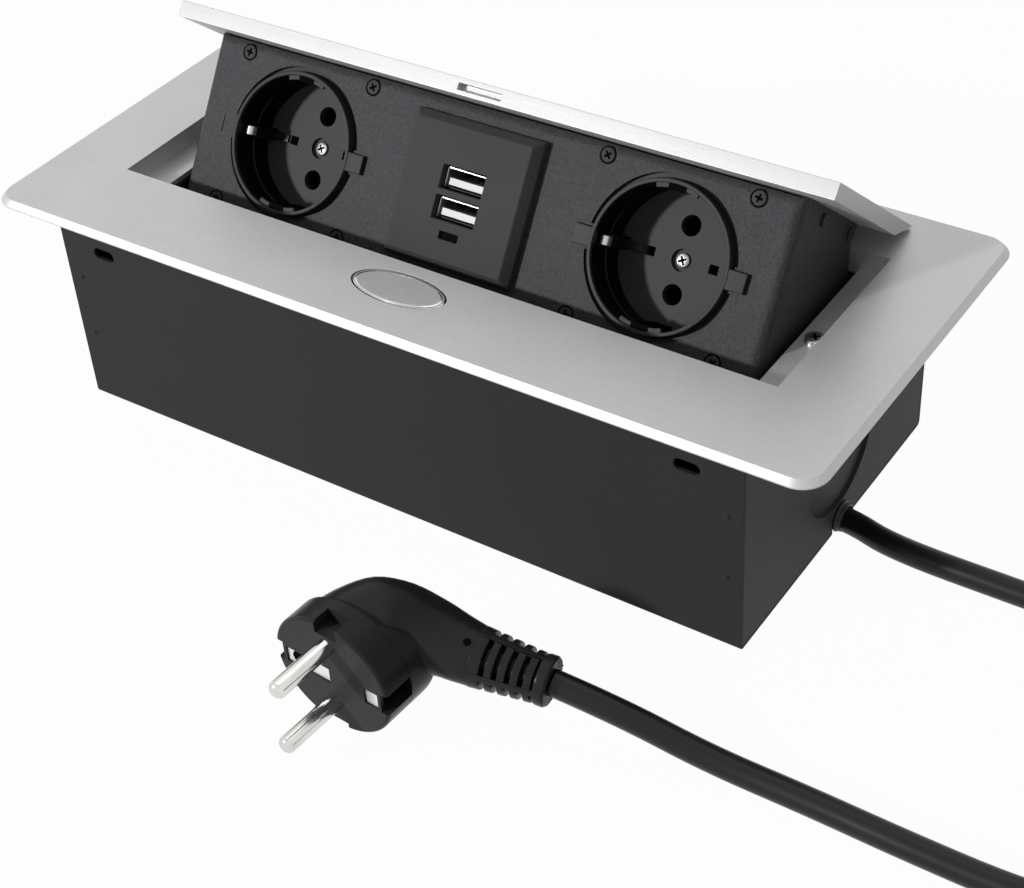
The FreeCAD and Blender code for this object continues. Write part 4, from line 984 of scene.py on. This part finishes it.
def add_clips():
    """The sprung tips of the earth contacts and the dark channels they stand in."""
    tips = bmesh.new()
    channels = bmesh.new()
    for u0 in (-socket_offset, socket_offset):
        for side in (-1, 1):
            merge_in(tips, clip_tip(), Matrix.Translation((u0 + side * clip_tip_reach[side], 0, clip_tip_h)))
            merge_in(channels, clip_rail(side), Matrix.Translation((u0 + side * rail_reach, 0, 0)))
            if side < 0:
                foot = block_form(*left_foot_corners)
                tidy(foot, clip_ease)
                merge_in(channels, foot, Matrix.Translation((u0, 0, 0)))
    add_piece("earth_clip_tips", tips, nickel, "module", ("earth_strap_left", "earth_strap_right"), on_panel)
    add_piece("earth_clip_channels", channels, gloss_black, "module", (), on_panel)


add_cup("socket_ring_left", "socket_cup_left", -socket_offset, True)
add_cup("socket_ring_right", "socket_cup_right", socket_offset, False)
add_clips()

# USB ports


def add_usb_ports():
    """Each port a sheet metal shell round a well with contacts, its lower lip set back; lip and back dark as
    painted shade.
    """
    shells = bmesh.new()
    wells = bmesh.new()
    contacts = bmesh.new()
    left = -port_half_width
    right = port_half_width
    for v0 in (-port_offset, port_offset):
        low = v0 - port_half_height
        high = v0 + port_half_height
        block(shells, (left, high - port_wall, port_back_h), (right, high, port_front_h))
        block(shells, (left, low, port_back_h), (left + port_wall, high, port_front_h))
        block(shells, (right - port_wall, low, port_back_h), (right, high, port_front_h))
        block(wells, (left, low, port_back_h), (right, low + port_wall, port_front_h - port_lip_setback))
        block(wells, (left, low, port_back_h - port_wall), (right, high, port_back_h))
        for u in contact_places:
            block(contacts, (u - contact_half_width, v0 + contact_rise, port_back_h),
                  (u + contact_half_width, high - port_wall, contact_front_h))
    for form in (shells, wells, contacts):
        tidy(form, port_ease, 50, 1)
    add_piece("usb_port_walls", shells, nickel, "module", ("usb_port_shells",), on_panel)
    add_piece("usb_port_wells", wells, port_painted_shade_metal, "module", (), on_panel)
    add_piece("usb_port_springs", contacts, hidden_and_painted_shade_black, "module", (), on_panel)


add_usb_ports()

# Box walls


def add_weld_marks():
    """Small round weld marks near the ends of the front and back walls."""
    form = bmesh.new()
    for x in (-weld_x, weld_x):
        for z in weld_heights:
            for y in (-weld_middle_y, weld_middle_y):
                bmesh.ops.create_uvsphere(form, u_segments=20, v_segments=10, radius=weld_radius,
                                          matrix=Matrix.Translation((x, y, z)))
    tidy(form)
    add_piece("weld_marks", form, charcoal_coat, "housing")


add_weld_marks()

# Plug


def between(sections, i, share):
    """A section on the smooth run through the sections."""
    before = sections[max(i - 1, 0)]
    start = sections[i]
    end = sections[i + 1]
    after = sections[min(i + 2, len(sections) - 1)]
    values = []
    for a, b, c, d in zip(before, start, end, after):
        values.append(0.5 * (2 * b + (c - a) * share + (2 * a - 5 * b + 4 * c - d) * share ** 2
                             + (3 * b - a - 3 * c + d) * share ** 3))
    return values


def elbow_form():
    """The smooth elbow from the plug's head to its neck."""
    form = bmesh.new()
    last = len(plug_sections) - 1
    for k in range(last * elbow_steps + 1):
        i = min(k // elbow_steps, last - 1)
        turn, *sizes = between(plug_sections, i, k / elbow_steps - i)
        side, back, width, height, z = (size / 1000 for size in sizes)
        place = (Matrix.Translation((side, back, z)) @ turned(-turn, "Z") @ turned(90, "X")
                 @ Matrix.Diagonal((width, height, 1, 1)))
        bmesh.ops.create_circle(form, cap_ends=False, segments=64, radius=1, matrix=place)
    bmesh.ops.bridge_loops(form, edges=form.edges[:])
    bmesh.ops.holes_fill(form, edges=[e for e in form.edges if e.is_boundary], sides=0)
    tidy(form)
    return form


def head_form(depth):
    """A length of the plug's flattened round head, its face rounded over."""
    form = bmesh.new()
    rounded = [(plug_radius - plug_face_ease * (1 - math.sin(a)), plug_face_ease * (1 - math.cos(a)))
               for a in quarter_turn]
    lathe(form, [(0, 0), *rounded, (plug_radius, depth), (0, depth)], 96)
    tidy(form)
    form.transform(turned(-90, "X"))
    drop = Matrix.Translation((0, 0, -plug_head_drop))
    form.transform(drop @ Matrix.Diagonal((1, 1, plug_head_flatness, 1)))
    return form


def shoulder_form():
    """The part of the head that goes on beside the elbow, cut off at a slope."""
    start, depth = plug_shoulder
    form = head_form(depth)
    slope = Vector((plug_head_depth - depth, plug_radius - start, 0)).normalized()
    slice_off(form, (start, plug_head_depth, 0), slope)
    slice_off(form, (start, 0, 0), (-1, 0, 0))
    slice_off(form, (0, plug_head_depth - shoulder_overlap, 0), (0, -1, 0))
    return form


def plug_cuts():
    """The low and high corners of the side grooves, the key grooves and the face recesses."""
    cuts = []
    for side, depth in zip((-1, 1), key_groove_depths):
        sides = sorted((side * side_groove_floor, side * plug_outside))
        cuts.append(((sides[0], -overcut, side_groove_heights[0]),
                     (sides[1], side_groove_length, side_groove_heights[1])))
        top = side * plug_radius * plug_head_flatness - plug_head_drop
        heights = sorted((top - side * depth, side * plug_outside))
        cuts.append(((-key_groove_half_width, -overcut, heights[0]),
                     (key_groove_half_width, key_groove_length, heights[1])))
    for left, right in face_plates:
        cuts.append(((left, -overcut, plate_heights[0]), (right, plate_back, plate_heights[1])))
    return cuts


def add_plug():
    """The plug's moulding: head, shoulder and elbow, each with the grooves and recesses cut."""
    body = bmesh.new()
    for form in (head_form(plug_head_depth), shoulder_form(), elbow_form()):
        for low, high in plug_cuts():
            form = carved(form, block_form(low, high))
        tidy(form, plug_ease, 50)
        merge_in(body, form)
    add_piece("plug_moulding", body, plug_black, "housing", ("plug_body",), on_plug, plug_crease)


def add_earth_contacts():
    """The bright plates in the plug's face, one with a dark disc of painted shade for its hole, and the
    contact strips in its side grooves dark with painted shade.
    """
    plates = bmesh.new()
    for left, right in face_plates:
        block(plates, (left, plate_front, plate_heights[0]), (right, plate_back, plate_heights[1]))
    tidy(plates, contact_ease, 50, 1)
    hole = bmesh.new()
    rod(hole, contact_hole_radius, contact_hole_depth, 40, Matrix.Translation(contact_hole) @ turned(90, "X"))
    strips = bmesh.new()
    for side in (-1, 1):
        ends = sorted((side * side_groove_floor, side * (side_groove_floor + strip_thickness)))
        block(strips, (ends[0], plate_back, strip_heights[0]),
              (ends[1], plug_head_depth - shoulder_overlap, strip_heights[1]))
    tidy(strips, contact_ease, 50, 1)
    add_piece("plug_face_plates", plates, plate_nickel, "housing", ("plug_earth_contacts",), on_plug)
    add_piece("plug_contact_hole", hole, hidden_and_painted_shade_black, "housing", (), on_plug)
    add_piece("plug_side_strips", strips, hidden_and_painted_shade_black, "housing", (), on_plug)


def add_gate_mark():
    """The small round hole in the upper side of the plug's neck, drawn as a dark disc of painted shade."""
    form = bmesh.new()
    place = Matrix.Translation(gate_mark_place) @ pointed(gate_mark_way)
    rod(form, gate_mark_radius, gate_mark_depth, 32, place @ Matrix.Translation((0, 0, -gate_mark_sunk)))
    add_piece("plug_gate_mark", form, hidden_and_painted_shade_black, "housing", (), on_plug)


def add_plug_pins():
    """The two round pins with their rounded noses."""
    rounded = [(pin_radius - pin_nose * (1 - math.cos(a)), pin_length - pin_nose + pin_nose * math.sin(a))
               for a in quarter_turn]
    profile = [(0, -pin_root), (pin_root_radius, -pin_root), (pin_root_radius, 0), (pin_radius, 0),
               *rounded, (0, pin_length)]
    form = bmesh.new()
    for z in (-pin_spacing / 2, pin_spacing / 2):
        pin = bmesh.new()
        lathe(pin, profile, 48)
        tidy(pin)
        merge_in(form, pin, Matrix.Translation((0, 0, z)) @ turned(90, "X"))
    add_piece("plug_pin_pair", form, pin_nickel, "housing", ("plug_pins",), on_plug, pin_crease)


add_plug()
add_earth_contacts()
add_gate_mark()
add_plug_pins()

# Cord bush


def add_gland():
    """The bush in the box's end, flat underneath, with a short tapered sleeve."""
    form = bmesh.new()
    lathe(form, gland_outline, 64)
    tidy(form, gland_ease)
    form.transform(Matrix.Translation(gland_outside) @ turned(90, "Y"))
    slice_off(form, (0, 0, gland_flat_z), (0, 0, -1))
    tidy(form)
    add_piece("cord_bush", form, cord_black, "housing", ("cable_gland",))


add_gland()

# Strain relief and free cord


def add_relief():
    """The strain relief: slots on its flanks and ridges, plain bars between them, and a ring at its end."""
    side, back = plug_sections[-1][1:3]
    start = on_plug @ Vector((side / 1000, back / 1000, 0.0))
    end = Vector(cord_to_plug[-1])
    start -= (end - start).normalized() * relief_overlap
    along = end - start
    length = along.length

    def radius(x):
        return relief_root + (relief_tip - relief_root) * x / length

    def slotted(groove, depth):
        outline = [(cord_hollow, 0), (radius(0), 0)]
        for i in range(slot_count):
            x0 = slot_start + slot_pitch * i
            x1 = x0 + groove
            outline += [(radius(x0), x0), (radius(x0) - depth, x0 + slot_slant),
                        (radius(x1) - depth, x1 - slot_slant), (radius(x1), x1)]
        return outline + [(radius(length), length), (cord_hollow, length)]

    plain = [(cord_hollow, 0), (radius(0), 0), (radius(length), length), (cord_hollow, length)]
    flank_half = relief_bar_middle - relief_bar_half
    form = bmesh.new()
    for middle in (0.0, 180.0):
        lathe(form, slotted(*flank_slot), 18, middle - flank_half, 2 * flank_half)
        for side in (-1, 1):
            bar_start = middle + side * relief_bar_middle - relief_bar_half
            lathe(form, plain, 4, bar_start, 2 * relief_bar_half)
        lathe(form, slotted(*ridge_slot), 16, middle + 90 - flank_half, 2 * flank_half)
    tidy(form, relief_ease, 40)
    ring_radius = relief_tip + end_ring_rise
    ring = bmesh.new()
    ring_start = length - end_ring_length
    lathe(ring, [(cord_hollow, ring_start), (relief_tip + 0.0002, ring_start),
                 (ring_radius, ring_start + end_ring_slope), (ring_radius, length - end_ring_slope),
                 (relief_tip - 0.0001, length), (cord_hollow, length)], 48)
    tidy(ring)
    merge_in(form, ring)
    place = Matrix.Translation(start) @ pointed(along) @ turned(relief_turn, "Z")
    add_piece("cord_relief", form, plug_black, "housing", ("plug_relief",), place, plug_crease)


def coil_points():
    """The put-away turns: the lower layer winds inwards, the upper layer back outwards."""
    points = []
    turns = 2 * coil_rows + coil_end_turn
    inner = coil_mean_radius - cord_diameter * (coil_rows - 1) / 2
    outer = coil_mean_radius + cord_diameter * (coil_rows - 1) / 2
    for i in range(int(turns * coil_steps) + 1):
        turn = i / coil_steps
        angle = math.radians(90) - 2 * math.pi * turn
        if turn < coil_rows:
            row = turn / (coil_rows - coil_inner_rest)
            radius = outer - (outer - inner) * min(1.0, row)
            climb = max(0.0, (turn - coil_rows + coil_climb) / coil_climb)
            height = coil_lower_h + cord_diameter * climb
        else:
            row = (turn - coil_rows) / (coil_rows - coil_outer_rest)
            radius = inner + (outer - inner) * min(1.0, row)
            height = coil_upper_h
        points.append((coil_centre.x + radius * math.cos(angle), coil_centre.y + radius * math.sin(angle),
                       height))
    return points


def supply_cord():
    """The cord from the box through its coil to the plug, as one smooth tube."""
    route = cord_to_coil + coil_points() + cord_to_plug
    curve = bpy.data.curves.new("free_cord", "CURVE")
    curve.dimensions = "3D"
    line = curve.splines.new("NURBS")
    line.points.add(len(route) - 1)
    for point, place in zip(line.points, route):
        point.co = (*place, 1)
    line.order_u = 3
    line.use_endpoint_u = True
    line.resolution_u = 6
    curve.bevel_depth = cord_diameter / 2
    curve.bevel_resolution = 5
    curve.use_fill_caps = True
    curve.materials.append(cord_black)
    piece = add_object("free_cord", curve)
    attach(piece, "housing")
    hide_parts("supply_cord", "cord_coil", "plug_cord")


add_relief()
supply_cord()

# Floor, backdrop and light


def seen_directly(tree_nodes, links):
    """One where the camera sees the backdrop, also in a mirror or through glass."""
    path = tree_nodes.new("ShaderNodeLightPath")
    seen = path.outputs["Is Camera Ray"]
    for kind in ("Is Glossy Ray", "Is Transmission Ray"):
        either = tree_nodes.new("ShaderNodeMath")
        either.operation = "MAXIMUM"
        links.new(seen, either.inputs[0])
        links.new(path.outputs[kind], either.inputs[1])
        seen = either.outputs[0]
    return seen


def add_stage():
    """A wide pale floor that shows white to the camera but keeps the object's soft shadow."""
    form = bmesh.new()
    bmesh.ops.create_grid(form, x_segments=1, y_segments=1, size=floor_half_size)
    mesh = bpy.data.meshes.new("floor")
    form.to_mesh(mesh)
    form.free()
    floor = add_object("floor", mesh)
    material, tree_nodes, links, shader = new_material("floor_white")
    shader.inputs["Base Color"].default_value = (floor_grey, floor_grey, floor_grey, 1)
    shader.inputs["Roughness"].default_value = 0.9
    glow = tree_nodes.new("ShaderNodeEmission")
    glow.inputs["Color"].default_value = (1, 1, 1, 1)
    glow.inputs["Strength"].default_value = 1.0
    share = tree_nodes.new("ShaderNodeMath")
    share.operation = "MULTIPLY"
    share.inputs[1].default_value = floor_white_share
    links.new(seen_directly(tree_nodes, links), share.inputs[0])
    mix = tree_nodes.new("ShaderNodeMixShader")
    links.new(share.outputs[0], mix.inputs["Fac"])
    links.new(shader.outputs[0], mix.inputs[1])
    links.new(glow.outputs[0], mix.inputs[2])
    links.new(mix.outputs[0], tree_nodes["Material Output"].inputs["Surface"])
    mesh.materials.append(material)


def add_world():
    """White to the camera; for the object a sky that is bright above and dim near the floor."""
    world = bpy.data.worlds.new("studio")
    world.use_nodes = True
    bpy.context.scene.world = world
    tree_nodes = world.node_tree.nodes
    links = world.node_tree.links
    back = tree_nodes["Background"]
    back.inputs["Color"].default_value = (1, 1, 1, 1)
    way = tree_nodes.new("ShaderNodeTexCoord")
    parts = tree_nodes.new("ShaderNodeSeparateXYZ")
    links.new(way.outputs["Generated"], parts.inputs["Vector"])
    sky = spread(tree_nodes, links, parts.outputs["Z"], sky_low, sky_high)
    strength = tree_nodes.new("ShaderNodeMix")
    strength.inputs["B"].default_value = 1.0
    links.new(seen_directly(tree_nodes, links), strength.inputs["Factor"])
    links.new(sky, strength.inputs["A"])
    links.new(strength.outputs["Result"], back.inputs["Strength"])


def add_lamp(name, place, size, power):
    """A soft lamp that shines on the object."""
    data = bpy.data.lights.new(name, "AREA")
    data.shape = "RECTANGLE"
    data.size, data.size_y = size
    data.energy = power
    lamp = add_object(name, data)
    lamp.location = place
    lamp.rotation_euler = (lamp_aim - Vector(place)).to_track_quat("-Z", "Y").to_euler()


add_stage()
add_world()
for name, place, size, power in lamps:
    add_lamp(name, place, size, power)

bpy.context.scene.view_settings.view_transform = "Standard"
